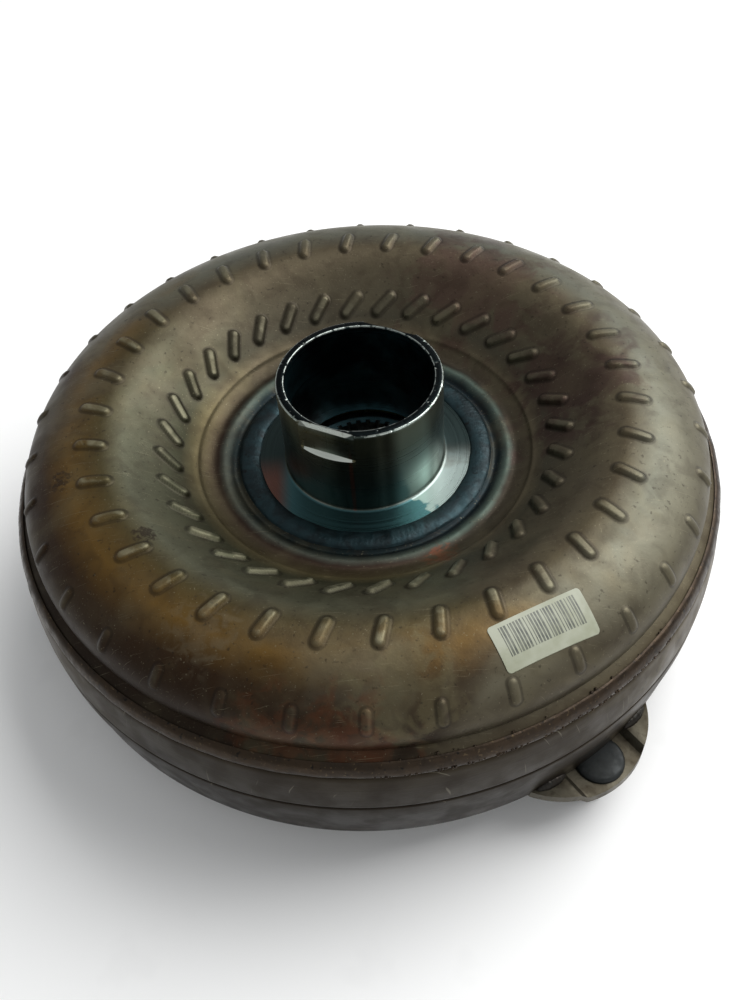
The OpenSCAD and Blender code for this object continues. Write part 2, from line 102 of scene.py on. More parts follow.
class Dressing:
    """The node tree of one material, with Object coordinates in millimetres at hand."""

    def __init__(self, name: str) -> None:
        """Start a material with one Principled shader.

        Args:
            name: The material's name.
        """
        self.material = bpy.data.materials.new(name)
        self.material.use_nodes = True
        self.tree = self.material.node_tree
        self.shader = self.tree.nodes["Principled BSDF"]
        coords = self.add("ShaderNodeTexCoord")
        self.uv = coords.outputs["UV"]
        self.mm = self.add("ShaderNodeVectorMath", {0: coords.outputs["Object"], "Scale": 1 / MM},
                           operation="SCALE").outputs[0]
        axes = self.add("ShaderNodeSeparateXYZ", {0: self.mm})
        self.x, self.y, self.z = axes.outputs
        across = self.add("ShaderNodeCombineXYZ", {0: self.x, 1: self.y})
        self.radius = self.add("ShaderNodeVectorMath", {0: across.outputs[0]},
                               operation="LENGTH").outputs["Value"]
        self.azimuth = self.maths("ARCTAN2", self.y, self.x)
        self.height = None

    def add(self, kind: str, inputs: dict | None = None, **settings) -> bpy.types.Node:
        """Add a node to this material's tree."""
        return add_node(self.tree, kind, inputs, **settings)

    def maths(self, operation: str, *values: Socket | float) -> Socket:
        """Do one sum on the values and return its result's socket."""
        inputs = dict(enumerate(values))
        return self.add("ShaderNodeMath", inputs, operation=operation).outputs[0]

    def gloss(self, **constants: float) -> None:
        """Set numbers that are the same all over the surface on the shader's own sockets."""
        for key, value in constants.items():
            self.shader.inputs[key.replace("_", " ")].default_value = value

    def blend(self, factor: Socket | float, first: Socket | str, second: Socket | str,
              mode: str = "MIX") -> Socket:
        """Mix two colours.

        Args:
            factor: How much of the second colour shows.
            first: A colour socket or an sRGB hex code.
            second: A colour socket or an sRGB hex code.
            mode: The way the second colour goes over the first.

        Returns:
            The mixed colour's socket.
        """
        colours = [srgb(c) if isinstance(c, str) else c for c in (first, second)]
        return self.add("ShaderNodeMix", {0: factor, 6: colours[0], 7: colours[1]},
                        data_type="RGBA", blend_type=mode).outputs[2]

    def band(self, value: Socket, low: float, high: float, to_low: float = 0.0,
             to_high: float = 1.0) -> Socket:
        """Bring a value smoothly from one range to another.

        Args:
            value: The value's socket.
            low: Where the change starts.
            high: Where the change ends.
            to_low: The result at the start.
            to_high: The result at the end.

        Returns:
            The result's socket.
        """
        return self.add("ShaderNodeMapRange", {"Value": value, "From Min": low, "From Max": high,
                                               "To Min": to_low, "To Max": to_high},
                        interpolation_type="SMOOTHSTEP").outputs[0]

    def cloud(self, size_mm: float, detail: float = 3.0,
              stretch: tuple[float, float, float] = (1, 1, 1), wander: float = 0.0) -> Socket:
        """Lay an uneven pattern over the piece.

        Args:
            size_mm: The size of one patch.
            detail: How many finer layers lie on it.
            stretch: How many times longer the patches are along X, Y and Z.
            wander: How far the patches swirl.

        Returns:
            A socket from 0 to 1 whose middle is 0.5.
        """
        scaled = self.add("ShaderNodeMapping",
                          {"Vector": self.mm, "Scale": tuple(1 / s for s in stretch)})
        return self.add("ShaderNodeTexNoise", {"Vector": scaled.outputs[0], "Scale": 1 / size_mm,
                                               "Detail": detail, "Distortion": wander}).outputs[0]

    def turned_lines(self, spacing_mm: float) -> Socket:
        """Draw the rings that a lathe tool leaves round the Z axis, uneven in depth.

        Args:
            spacing_mm: The distance between two rings.

        Returns:
            A socket from 0 to 1.
        """
        line = self.add("ShaderNodeCombineXYZ", {0: self.radius, 1: 0.0, 2: self.z})
        return self.add("ShaderNodeTexNoise", {"Vector": line.outputs[0], "Scale": 1 / spacing_mm,
                                               "Detail": 2.0}).outputs[0]

    def scratches(self, length_mm: float, width_mm: float, turn_deg: float,
                  level: float = 0.7) -> Socket:
        """Scatter fine straight scratches, all lying one way.

        Args:
            length_mm: About how long a scratch is.
            width_mm: About how wide a scratch is.
            turn_deg: Its direction in the XY plane.
            level: The noise value above which a scratch shows; a higher one leaves fewer.

        Returns:
            A socket that is 1 in a scratch and 0 elsewhere.
        """
        turned = self.add("ShaderNodeMapping",
                          {"Vector": self.mm, "Rotation": (0, 0, math.radians(turn_deg)),
                           "Scale": (1 / length_mm, 1 / width_mm, 1 / length_mm)})
        lines = self.add("ShaderNodeTexNoise",
                         {"Vector": turned.outputs[0], "Scale": 1.0, "Detail": 1.0})
        return self.band(lines.outputs[0], level, level + 0.04)

    def emboss(self, value: Socket, depth_mm: float) -> None:
        """Add a pattern to the surface's fine relief.

        Args:
            value: The pattern's socket, 0 low and 1 high.
            depth_mm: The real depth of the pattern.
        """
        bump_inputs = {"Height": value, "Distance": depth_mm * MM, "Strength": 1.0}
        if self.height is not None:
            bump_inputs["Normal"] = self.height
        self.height = self.add("ShaderNodeBump", bump_inputs).outputs[0]

    def finish(self, colour: Socket, roughness: Socket | None = None) -> bpy.types.Material:
        """Link the colour, the roughness and the relief to the shader.

        Args:
            colour: The base colour's socket.
            roughness: The roughness's socket, or None where it is a constant.

        Returns:
            The finished material.
        """
        self.tree.links.new(colour, self.shader.inputs["Base Color"])
        if roughness is not None:
            self.tree.links.new(roughness, self.shader.inputs["Roughness"])
        if self.height is not None:
            self.tree.links.new(self.height, self.shader.inputs["Normal"])
        return self.material


# ---------------------------------------------------------------- finishes

@dataclass(frozen=True)
class Stain:
    """A local mark on the shell, placed in the converter's own frame."""

    azimuth_deg: float
    radius_mm: float
    z_mm: float
    size_mm: float
    colour: str
    strength: float


@dataclass(frozen=True)
class HeatTintedSteel:
    """Deep-drawn mild steel, brazed and welded, then wiped with fluid.

    Brazing leaves a thin brown and straw oxide film over the metal, thicker where the wall got
    hotter, and blue near the hub's weld. It gives a soft metallic sheen with cloudy colour. Painted
    highlights lighten the bead, the lip and the worn dimple tops, and painted shade darkens the
    dimples' feet.
    """

    name: str = "heat_tinted_drawn_steel"
    ramp_span_mm: float = 140.0
    # One colour for each zone of the shape: weld, bead, gutter, lip, dish, crest, flank and rim
    # The lighter stops at the bead (56.5) and the lip (67) are painted highlights on those rounded
    # edges
    warm: tuple[tuple[float, str], ...] = (
        (44, "#101c20"), (53, "#0c1818"), (56.5, "#444840"), (59, "#2c2018"), (67, "#504830"),
        (72, "#303020"), (92, "#505040"), (100, "#403820"), (112, "#604820"), (123, "#302010"),
        (136, "#201810"))
    cool: tuple[tuple[float, str], ...] = (
        (44, "#102024"), (53, "#101c20"), (56.5, "#445048"), (59, "#242018"), (67, "#504838"),
        (72, "#403c30"), (92, "#504838"), (100, "#484030"), (112, "#5c5c50"), (126, "#646050"),
        (136, "#484030"))
    warm_deg: float = -143.0
    stains: tuple[Stain, ...] = (
        Stain(8, 82, 86, 34, "#33211e", 0.75),
        Stain(55, 92, 90, 36, "#43302a", 0.65),
        Stain(266, 132, 76, 20, "#5c2f16", 0.4),
        Stain(254, 131, 77, 17, "#5c2f16", 0.3),
        Stain(294, 63, 71, 7, "#6b3218", 0.4),
        Stain(273, 122, 90, 22, "#5f5840", 0.5),
        Stain(240, 113, 94, 13, "#6a6250", 0.28),
        Stain(215, 96, 94, 5, "#1d120c", 0.75),
        Stain(193, 115, 93, 5, "#20150e", 0.7),
    )

    def ramp(self, d: Dressing, stops: tuple[tuple[float, str], ...]) -> Socket:
        """Colour the shell by its distance from the axis.

        Args:
            d: The dressing under way.
            stops: Pairs of a radius in millimetres and a colour.

        Returns:
            The colour's socket.
        """
        wavy = d.maths("ADD", d.radius, d.band(d.cloud(14, 2), 0.2, 0.8, -0.6, 0.6))
        share = d.maths("DIVIDE", wavy, self.ramp_span_mm)
        node = d.add("ShaderNodeValToRGB", {0: share})
        ramp = node.color_ramp
        for element, (radius, colour) in zip(ramp.elements, (stops[0], stops[-1])):
            element.position, element.color = radius / self.ramp_span_mm, srgb(colour)
        for radius, colour in stops[1:-1]:
            ramp.elements.new(radius / self.ramp_span_mm).color = srgb(colour)
        return node.outputs[0]

    def near(self, d: Dressing, stain: Stain) -> Socket:
        """Find how much of a stain lies on a point.

        Args:
            d: The dressing under way.
            stain: The stain.

        Returns:
            A socket that is the stain's strength at its middle and 0 outside it.
        """
        a = math.radians(stain.azimuth_deg)
        centre = (stain.radius_mm * math.cos(a), stain.radius_mm * math.sin(a), stain.z_mm)
        away = d.add("ShaderNodeVectorMath", {0: d.mm, 1: centre},
                     operation="DISTANCE").outputs["Value"]
        rough = d.maths("ADD", away, d.band(d.cloud(stain.size_mm / 3, 4, wander=0.6), 0.3, 0.7,
                                            -stain.size_mm * 0.45, stain.size_mm * 0.45))
        return d.band(rough, stain.size_mm * 0.25, stain.size_mm, stain.strength, 0.0)

    def material(self) -> bpy.types.Material:
        """Build the material."""
        d = Dressing(self.name)
        # The front left of the ring is bronze and the rest is greenish grey, with a soft border
        facing = d.maths("ADD", d.azimuth, math.radians(-self.warm_deg))
        side = d.maths("COSINE", facing)
        drift = d.maths("ADD", side, d.band(d.cloud(46, 3, wander=1.2), 0.3, 0.7, -0.3, 0.3))
        colour = d.blend(d.band(drift, -0.25, 0.95), self.ramp(d, self.cool),
                         self.ramp(d, self.warm))
        for stain in self.stains:
            colour = d.blend(self.near(d, stain), colour, stain.colour)
        # Cloudy film, fluid residue, and pores that hold dirt
        colour = d.blend(d.band(d.cloud(9, 5, wander=0.8), 0.42, 0.72, 0.0, 0.3), colour, "#23170d")
        colour = d.blend(d.band(d.cloud(26, 4, wander=0.9), 0.48, 0.72, 0.0, 0.2), colour,
                         "#665f47")
        colour = d.blend(d.band(d.cloud(0.8, 2), 0.66, 0.74, 0.0, 0.35), colour, "#857f68")
        colour = d.blend(d.band(d.cloud(1.6, 3), 0.62, 0.74, 0.0, 0.55), colour, "#1a130c")
        # Painted shade round the dimples' feet, and lighter tops that are worn metal with a painted
        # highlight
        press = d.add("ShaderNodeAttribute", attribute_name=PRESS).outputs["Fac"]
        foot = d.maths("SUBTRACT", d.band(press, 0.2, 0.42), d.band(press, 0.5, 0.66))
        colour = d.blend(d.band(foot, 0.0, 1.0, 0.0, 0.42), colour, "#150f09")
        # The lighter tops, worn metal with a painted highlight, show least on the outer row and on
        # the grey side of the ring
        worn = d.maths("MULTIPLY", d.band(d.cloud(9, 3, wander=0.8), 0.38, 0.66, 0.0, 0.4),
                       d.band(d.radius, 112.0, 122.0, 1.0, 0.2))
        handled = d.maths("MULTIPLY", worn, d.band(drift, -0.6, 0.5, 0.35, 1.0))
        top = d.maths("MULTIPLY", d.band(press, 0.62, 0.82), handled)
        colour = d.blend(top, colour, "#928f76")
        hair = d.scratches(16, 0.26, 35, 0.735)
        cross = d.scratches(11, 0.24, -50, 0.74)
        marks = d.maths("MAXIMUM", hair, cross)
        colour = d.blend(d.maths("MULTIPLY", marks, 0.25), colour, "#8f8870")
        roughness = d.band(d.cloud(17, 4, wander=0.6), 0.3, 0.7, 0.4, 0.56)
        d.gloss(Metallic=0.7, Specular_IOR_Level=0.3)
        d.emboss(d.cloud(5.5, 3), 0.10)
        d.emboss(d.cloud(0.9, 2), 0.035)
        d.emboss(marks, -0.015)
        return d.finish(colour, roughness)


@dataclass(frozen=True)
class GroundHubSteel:
    """Case-hardened steel, turned and then ground where the seal runs.

    The tube is bright and cold in colour with fine rings, a few long marks and upright bands of
    painted reflection. Welding turns its foot teal and brown, with a painted highlight on one side,
    and painted shade leaves the bore almost black.
    """

    name: str = "ground_hub_steel"
    foot_z_mm: float = 69.5
    bore_r_mm: float = 28.1
    tube_r_mm: float = 31.5
    flat_z_mm: float = 97.0
    rim_z_mm: float = 110.0
    bevel_z_mm: float = 108.0
    rust_line_mm: tuple[float, float, float] = (-5.4, -31.0, 83.0)
    rust_reach: tuple[float, float, float] = (1.0, 0.5, 0.05)
    foot_highlight_deg: tuple[float, float] = (-59.0, -54.0)
    browned_deg: tuple[float, float] = (-22.0, 4.0)
    painted_reflection_bands: tuple[tuple[float, float, str, float], ...] = (
        (-130, 13, "#8a8c84", 0.7), (-96, 20, "#2a3230", 0.75), (-72, 7, "#38423f", 0.6),
        (-55, 17, "#bcd1c8", 0.85), (-20, 12, "#444e4a", 0.5), (-160, 14, "#3d433f", 0.5))

    def material(self) -> bpy.types.Material:
        """Build the material."""
        d = Dressing(self.name)
        colour = d.blend(d.band(d.cloud(7, 4, (1, 1, 3)), 0.3, 0.7), "#5f6b64", "#838d84")
        drag = d.scratches(30, 0.5, 20, 0.68)
        colour = d.blend(d.maths("MULTIPLY", drag, 0.35), colour, "#3a4642")
        # Upright light and dark bands round the tube, each over a span of directions: painted
        # reflections
        for middle, half, tone, strength in self.painted_reflection_bands:
            turn = d.maths("SUBTRACT", d.azimuth, math.radians(middle))
            away = d.maths("ABSOLUTE", turn)
            colour = d.blend(d.band(away, math.radians(half * 0.45),
                                    math.radians(half * 1.15), strength, 0.0), colour, tone)
        # Rust line down the front of the tube
        line = d.add("ShaderNodeVectorMath", {0: d.mm, 1: self.rust_line_mm},
                     operation="SUBTRACT").outputs[0]
        flat = d.add("ShaderNodeVectorMath", {0: line, 1: self.rust_reach},
                     operation="MULTIPLY").outputs[0]
        away = d.add("ShaderNodeVectorMath", {0: flat}, operation="LENGTH").outputs["Value"]
        colour = d.blend(d.band(away, 0.4, 1.2, 0.6, 0.0), colour, "#7d4436")
        # The foot is tinted by the weld, and lighter on one side as a painted highlight
        wavy = d.maths("ADD", d.azimuth, d.band(d.cloud(9, 3), 0.3, 0.7, -0.16, 0.16))
        wiped = d.band(wavy, *map(math.radians, self.foot_highlight_deg))
        warm = d.band(wavy, *map(math.radians, self.browned_deg))
        foot = d.blend(wiped, "#3a585b", "#7d8985")
        foot = d.blend(warm, foot, "#4c4036")
        behind = d.band(d.y, 2.0, -14.0)
        left = d.band(d.x, -29.0, -36.0)
        foot = d.blend(left, foot, "#5a4038")
        foot = d.blend(behind, "#26302f", foot)
        colour = d.blend(d.band(d.z, self.foot_z_mm + 0.6, self.foot_z_mm + 0.1), colour, foot)
        # The ledge under each flat and the bevel above it are the brightest metal
        step = d.maths("SUBTRACT", d.z, self.flat_z_mm)
        ledge = d.band(d.maths("ABSOLUTE", step), 0.5, 0.6, 1.0, 0.0)
        ledge = d.maths("MULTIPLY", ledge,
                        d.band(d.radius, self.tube_r_mm - 0.02, self.tube_r_mm - 0.1))
        cut = d.maths("MULTIPLY", d.band(d.z, self.bevel_z_mm, self.bevel_z_mm + 0.2),
                      d.band(d.radius, self.tube_r_mm - 1.0, self.tube_r_mm - 1.3))
        bright = d.maths("MAXIMUM", ledge, cut)
        colour = d.blend(bright, colour, "#d5dbd2")
        # Painted shade: the bore is near black, with teal patches
        inside = d.band(d.radius, self.bore_r_mm + 0.5, self.bore_r_mm + 0.1)
        colour = d.blend(inside, colour, d.blend(d.band(d.cloud(16, 3), 0.4, 0.65),
                                                 "#1c2427", "#36555b"))
        # The rim is dark with oil between two edges that were rubbed bright
        colour = d.blend(d.band(d.z, self.rim_z_mm - 0.35, self.rim_z_mm - 0.15, 0.0, 1.0),
                         colour, "#0d1213")
        wall = d.maths("SUBTRACT", d.radius, (self.tube_r_mm + self.bore_r_mm) / 2)
        edge = d.band(d.maths("ABSOLUTE", wall), 1.05, 1.3)
        top = d.maths("MULTIPLY", edge, d.band(d.z, self.rim_z_mm - 1.0, self.rim_z_mm - 0.6,
                                               0.0, 0.6))
        colour = d.blend(d.maths("MULTIPLY", top, d.band(d.cloud(2.5, 3), 0.36, 0.5)),
                         colour, "#c6cec7")
        roughness = d.band(d.turned_lines(0.7), 0.3, 0.7, 0.26, 0.42)
        d.gloss(Metallic=1.0)
        d.emboss(d.turned_lines(0.28), 0.012)
        d.emboss(d.cloud(3.0, 2), 0.01)
        return d.finish(colour, roughness)


class Lay(Enum):
    """The way a surface was made, which sets the direction of its marks."""

    TURNED = "turned"
    PRESSED = "pressed"
    CAST = "cast"


@dataclass(frozen=True)
class WorkedMetal:
    """A metal piece with the marks of the way it was made.

    Turned pieces show fine rings, pressed ones drawn clouds and scuffs, and cast ones a soft
    pebbled skin. Wear and dirt vary the colour between two tones.
    """

    name: str
    tone: str
    shade: str
    dirt: str
    lay: Lay
    roughness: tuple[float, float] = (0.3, 0.45)
    patch_mm: float = 12.0
    grain_mm: float = 0.8
    grain_depth_mm: float = 0.02
    dirt_share: float = 0.4
    metallic: float = 1.0

    def material(self) -> bpy.types.Material:
        """Build the material."""
        d = Dressing(self.name)
        colour = d.blend(d.band(d.cloud(self.patch_mm, 4, wander=0.7), 0.32, 0.68), self.tone,
                         self.shade)
        colour = d.blend(d.band(d.cloud(self.patch_mm / 5, 5), 0.52, 0.7, 0.0,
                                self.dirt_share), colour, self.dirt)
        grain = d.turned_lines(self.grain_mm) if self.lay is Lay.TURNED else d.cloud(self.grain_mm,
                                                                                     3)
        colour = d.blend(d.band(grain, 0.55, 0.75, 0.0, 0.25), colour, self.dirt)
        if self.lay is Lay.PRESSED:
            rub = d.scratches(18, 0.3, 20, 0.72)
            colour = d.blend(d.maths("MULTIPLY", rub, 0.45), colour, self.tone)
            d.emboss(d.cloud(self.patch_mm / 2, 3), 0.06)
        d.emboss(grain, self.grain_depth_mm)
        d.gloss(Metallic=self.metallic)
        return d.finish(colour, d.band(d.cloud(self.patch_mm / 2, 3), 0.3, 0.7, *self.roughness))


@dataclass(frozen=True)
class DrawnCoverSteel:
    """Drawn mild steel of the front cover, stained by coolant and handled bare.

    It is grey-brown with faint rings from the finishing roll, darker under the groove, and
    lighter along the edges that get scraped.
    """

    name: str = "drawn_cover_steel"
    groove_z_mm: float = 45.2
    dark_deg: float = -97.0

    def material(self) -> bpy.types.Material:
        """Build the material."""
        d = Dressing(self.name)
        upper = d.blend(d.band(d.cloud(24, 4, (1, 1, 0.4), 0.8), 0.35, 0.65), "#423727", "#554b36")
        lower = d.blend(d.band(d.cloud(16, 4, (1, 1, 0.5), 0.8), 0.35, 0.65), "#2d251a", "#43392a")
        colour = d.blend(d.band(d.z, self.groove_z_mm - 0.8, self.groove_z_mm + 0.6), lower, upper)
        # Painted shade darkens the front of the cover
        front = d.maths("ADD", d.azimuth, math.radians(-self.dark_deg))
        colour = d.blend(d.band(d.maths("COSINE", front),
                                0.3, 1.0, 0.0, 0.85), colour, "#1c160f")
        colour = d.blend(d.band(d.cloud(2.2, 5), 0.56, 0.7, 0.0, 0.6), colour, "#231c15")
        rub = d.scratches(20, 0.3, 8, 0.73)
        colour = d.blend(d.maths("MULTIPLY", rub, 0.22), colour, "#a09b8a")
        # Painted shade in the groove
        groove = d.maths("SUBTRACT", d.z, self.groove_z_mm)
        depth = d.maths("ABSOLUTE", groove)
        colour = d.blend(d.band(depth, 0.2, 0.9, 0.8, 0.0), colour, "#15110d")
        d.gloss(Metallic=0.85)
        d.emboss(d.turned_lines(0.9), 0.03)
        d.emboss(d.cloud(5, 3), 0.08)
        return d.finish(colour, d.band(d.cloud(11, 4), 0.3, 0.7, 0.36, 0.55))


@dataclass(frozen=True)
class WeldMetal:
    """Arc-weld metal with its oxide skin.

    The skin is dark and slightly glassy, with heat colours from blue to brown and small pits.
    """

    name: str
    skin: str
    tint: str
    bright: str
    brown: str = "#2a221a"
    blue_to_mm: float = 60.0
    brown_from_mm: float = 120.0

    def material(self) -> bpy.types.Material:
        """Build the material."""
        d = Dressing(self.name)
        colour = d.blend(d.band(d.cloud(8, 4, wander=1.0), 0.35, 0.65), self.skin, self.tint)
        # Beads far from the hub cooled fast and stayed brown
        colour = d.blend(d.band(d.radius, self.blue_to_mm, self.brown_from_mm, 0.0, 0.75),
                         colour, self.brown)
        colour = d.blend(d.band(d.cloud(1.2, 4), 0.6, 0.74, 0.0, 0.5), colour, self.bright)
        colour = d.blend(d.band(d.cloud(2.1, 3), 0.63, 0.72, 0.0, 0.8), colour, "#060707")
        d.emboss(d.cloud(1.1, 4), 0.08)
        d.emboss(d.cloud(4.5, 2), 0.15)
        d.gloss(Metallic=0.75)
        return d.finish(colour, d.band(d.cloud(3, 3), 0.3, 0.7, 0.3, 0.5))


@dataclass(frozen=True)
class BarLabelStock:
    """White coated paper label with a black thermal print, matt and a little yellowed.

    The bars are a plain pattern that stands for no code, and nothing is written under them.
    """

    name: str = "printed_label_stock"
    modules: int = 93
    quiet: float = 0.09
    bar_low: float = 0.26
    bar_high: float = 0.9

    def material(self) -> bpy.types.Material:
        """Build the material."""
        d = Dressing(self.name)
        place = d.add("ShaderNodeSeparateXYZ", {0: d.uv})
        along, up = place.outputs[0], place.outputs[1]
        cell = d.maths("MULTIPLY", along, float(self.modules))
        step = d.maths("FLOOR", cell)
        chance = d.add("ShaderNodeTexWhiteNoise", {"W": step},
                       noise_dimensions="1D").outputs["Value"]
        # Of every three strips the first is printed, the second never, and the third by chance
        third = d.maths("MODULO", step, 3.0)
        first = d.maths("LESS_THAN", third, 0.5)
        last = d.maths("GREATER_THAN", third, 1.5)
        lucky = d.maths("LESS_THAN", chance, 0.5)
        either = d.maths("MULTIPLY", last, lucky)
        bar = d.maths("MAXIMUM", first, either)
        for socket, low, high in ((along, self.quiet, 1 - self.quiet),
                                  (up, self.bar_low, self.bar_high)):
            above = d.maths("GREATER_THAN", socket, low)
            below = d.maths("LESS_THAN", socket, high)
            inside = d.maths("MULTIPLY", above, below)
            bar = d.maths("MULTIPLY", bar, inside)
        worn = d.band(d.cloud(2.4, 4), 0.2, 0.75, 0.95, 0.6)
        ink = d.maths("MULTIPLY", bar, worn)
        paper = d.blend(d.band(d.cloud(9, 3), 0.35, 0.7), "#9c9f8d", "#8b8e78")
        paper = d.blend(d.band(d.cloud(1.1, 3), 0.6, 0.75, 0.0, 0.3), paper, "#8f8b70")
        d.emboss(d.cloud(0.5, 2), 0.01)
        d.gloss(Roughness=0.42)
        return d.finish(d.blend(ink, paper, "#2f342f"))


@dataclass(frozen=True)
class MouldedStock:
    """A non-metal piece: moulded resin, friction paper or rubber.

    It is matt with a fine fibre or mould grain and small light or dark flecks.
    """

    name: str
    tone: str
    shade: str
    fleck: str
    roughness: float
    grain_mm: float

    def material(self) -> bpy.types.Material:
        """Build the material."""
        d = Dressing(self.name)
        colour = d.blend(d.band(d.cloud(self.grain_mm * 9, 4), 0.35, 0.65), self.tone, self.shade)
        colour = d.blend(d.band(d.cloud(self.grain_mm, 3), 0.6, 0.7, 0.0, 0.5), colour, self.fleck)
        d.emboss(d.cloud(self.grain_mm, 3), 0.03)
        d.gloss(Roughness=self.roughness)
        return d.finish(colour)


CLOSING_WELD = WeldMetal("brown_closing_weld", "#2d2216", "#46341f", "#6a5a42")
BLUED_WELD = WeldMetal("blued_hub_weld", "#101c1f", "#182b2f", "#2c3c3e")
PILOT_STEEL = WorkedMetal("turned_pilot_steel", "#8f9188", "#73756d", "#3b3730", Lay.TURNED,
                          (0.22, 0.36), 9, 0.35)
LUG_STEEL = WorkedMetal("pressed_lug_steel", "#5a564b", "#433e34", "#241d15", Lay.PRESSED,
                        (0.36, 0.52), 10, 0.7)
STUD_STEEL = WorkedMetal("phosphated_stud_steel", "#222525", "#1a1d1c", "#0e0f0f", Lay.TURNED,
                         (0.4, 0.56), 5, 0.5, metallic=0.6)
VANE_STEEL = WorkedMetal("brazed_vane_steel", "#8f7f68", "#72583c", "#3a2a1a", Lay.PRESSED,
                         (0.34, 0.5), 14)
SHEET_STEEL = WorkedMetal("pressed_turbine_steel", "#8a8a86", "#6c6b66", "#36322c", Lay.PRESSED,
                          (0.3, 0.46), 16)
RACE_STEEL = WorkedMetal("ground_bearing_steel", "#b4b8b8", "#9b9f9f", "#54585a", Lay.TURNED,
                         (0.14, 0.24), 8, 0.3, 0.008, 0.2)
STATOR_ALLOY = WorkedMetal("die_cast_stator_alloy", "#b6b7b4", "#9a9b98", "#595a58", Lay.CAST,
                           (0.4, 0.56), 11, 0.9, 0.05, 0.35)
CAGE_BRASS = WorkedMetal("pressed_cage_brass", "#b08d4a", "#8f6f36", "#473515", Lay.TURNED,
                         (0.26, 0.4), 6, 0.4)
SPRING_STEEL = WorkedMetal("shot_peened_spring_steel", "#4a4d50", "#383b3e", "#1a1c1e", Lay.CAST,
                           (0.36, 0.5), 4, 0.45, 0.03)
WASHER_RESIN = MouldedStock("moulded_washer_resin", "#a5874a", "#8e7138", "#d2bb84", 0.5, 0.5)
LINING_PAPER = MouldedStock("wet_friction_paper", "#5d4830", "#4a3722", "#8a7450", 0.85, 0.4)
SEAL_RUBBER = MouldedStock("moulded_seal_rubber", "#17181a", "#101113", "#2b2d30", 0.55, 0.6)
FLOOR_PAINT = MouldedStock("pale_studio_floor", "#f6f6f5", "#f3f3f2", "#efefee", 0.9, 30.0)


# ---------------------------------------------------------------- meshes

def arc(cx: float, cz: float, r: float, start: float, end: float, steps: int) -> list[Point]:
    """Place points along an arc.

    Args:
        cx: Centre's distance from the axis.
        cz: Centre's height.
        r: The arc's radius.
        start: First direction in degrees.
        end: Last direction in degrees.
        steps: How many steps lie between them.

    Returns:
        Points as (radius, height).
    """
    turns = [math.radians(start + (end - start) * i / steps) for i in range(steps + 1)]
    return [(cx + r * math.cos(t), cz + r * math.sin(t)) for t in turns]


def soften(points: list[Point], passes: int = 2) -> list[Point]:
    """Round an open outline by cutting its corners, with its two ends kept.

    Args:
        points: The outline.
        passes: How often the corners are cut.

    Returns:
        The rounded outline.
    """
    for _ in range(passes):
        cut = [points[0]]
        for (r0, z0), (r1, z1) in zip(points, points[1:]):
            cut += [(0.75 * r0 + 0.25 * r1, 0.75 * z0 + 0.25 * z1),
                    (0.25 * r0 + 0.75 * r1, 0.25 * z0 + 0.75 * z1)]
        points = cut + [points[-1]]
    return points


def run_lengths(points: list[Point]) -> np.ndarray:
    """Measure the distance along an outline to each of its points."""
    steps = [math.dist(a, b) for a, b in zip(points, points[1:])]
    return np.concatenate([[0.0], np.cumsum(steps)])


def resample(points: list[Point], spacing) -> list[Point]:
    """Walk along an outline and place points as far apart as asked.

    Args:
        points: The outline.
        spacing: A function from the distance walked to the next step, in millimetres.

    Returns:
        The new outline, which keeps both ends.
    """
    runs = run_lengths(points)
    stops = [0.0]
    while stops[-1] + spacing(stops[-1]) < runs[-1] - 0.4 * spacing(stops[-1]):
        stops.append(stops[-1] + spacing(stops[-1]))
    stops.append(float(runs[-1]))
    pr = np.interp(stops, runs, [p[0] for p in points])
    pz = np.interp(stops, runs, [p[1] for p in points])
    return list(zip(pr.tolist(), pz.tolist()))


def flip_if_inside_out(mesh: bpy.types.Mesh) -> None:
    """Turn every face of a closed mesh round if they point inwards."""
    shape = bmesh.new()
    shape.from_mesh(mesh)
    if shape.calc_volume(signed=True) < 0:
        bmesh.ops.reverse_faces(shape, faces=shape.faces[:])
    shape.to_mesh(mesh)
    shape.free()


def make_piece(name: str, points: np.ndarray, faces: Faces,
               sharp_deg: float = 35.0) -> bpy.types.Object:
    """Make an object from points in millimetres, with smooth faces and crisp edges.

    Args:
        name: The piece's name.
        points: An array of N rows of X, Y and Z.
        faces: Index tuples.
        sharp_deg: Edges that turn more than this stay crisp.

    Returns:
        The object, linked to the scene.
    """
    mesh = bpy.data.meshes.new(name)
    mesh.from_pydata((np.asarray(points) * MM).tolist(), [], faces)
    mesh.validate()
    flip_if_inside_out(mesh)
    mesh.shade_smooth()
    mesh.set_sharp_from_angle(angle=math.radians(sharp_deg))
    piece = bpy.data.objects.new(name, mesh)
    bpy.context.scene.collection.objects.link(piece)
    return piece


def blank_piece(name: str) -> bpy.types.Object:
    """Make an object whose whole shape comes from a tree that makes its own geometry."""
    return make_piece(name, np.zeros((3, 3)), [(0, 1, 2)])


def stitch(faces: Faces, a: int, na: int, b: int, nb: int) -> None:
    """Join two rings of vertices, one of which may be finer or be a single pole.

    Args:
        faces: The list that gets the new faces.
        a: First vertex of the first ring.
        na: How many vertices it has.
        b: First vertex of the second ring.
        nb: How many vertices it has, a multiple or a divisor of na.
    """
    if na == nb:
        faces += [(a + i, a + (i + 1) % na, b + (i + 1) % nb, b + i) for i in range(na)]
    elif na > nb:
        fan: Faces = []
        stitch(fan, b, nb, a, na)
        faces += [face[::-1] for face in fan]
    else:
        ratio, half = nb // na, nb // na // 2
        for i in range(na):
            here, there = a + i, a + (i + 1) % na
            rim = [b + (i * ratio + k) % nb for k in range(ratio + 1)]
            if na > 1:
                faces.append((here, there, rim[half]))
                faces += [(here, rim[k + 1], rim[k]) for k in range(half)]
                faces += [(there, rim[k + 1], rim[k]) for k in range(half, ratio)]
            else:
                faces += [(here, rim[k + 1], rim[k]) for k in range(ratio)]


def around(radius: np.ndarray, z: np.ndarray, azimuth: np.ndarray) -> np.ndarray:
    """Turn radii, heights and directions into rows of X, Y and Z."""
    return np.stack([radius * np.cos(azimuth), radius * np.sin(azimuth), z], 1)


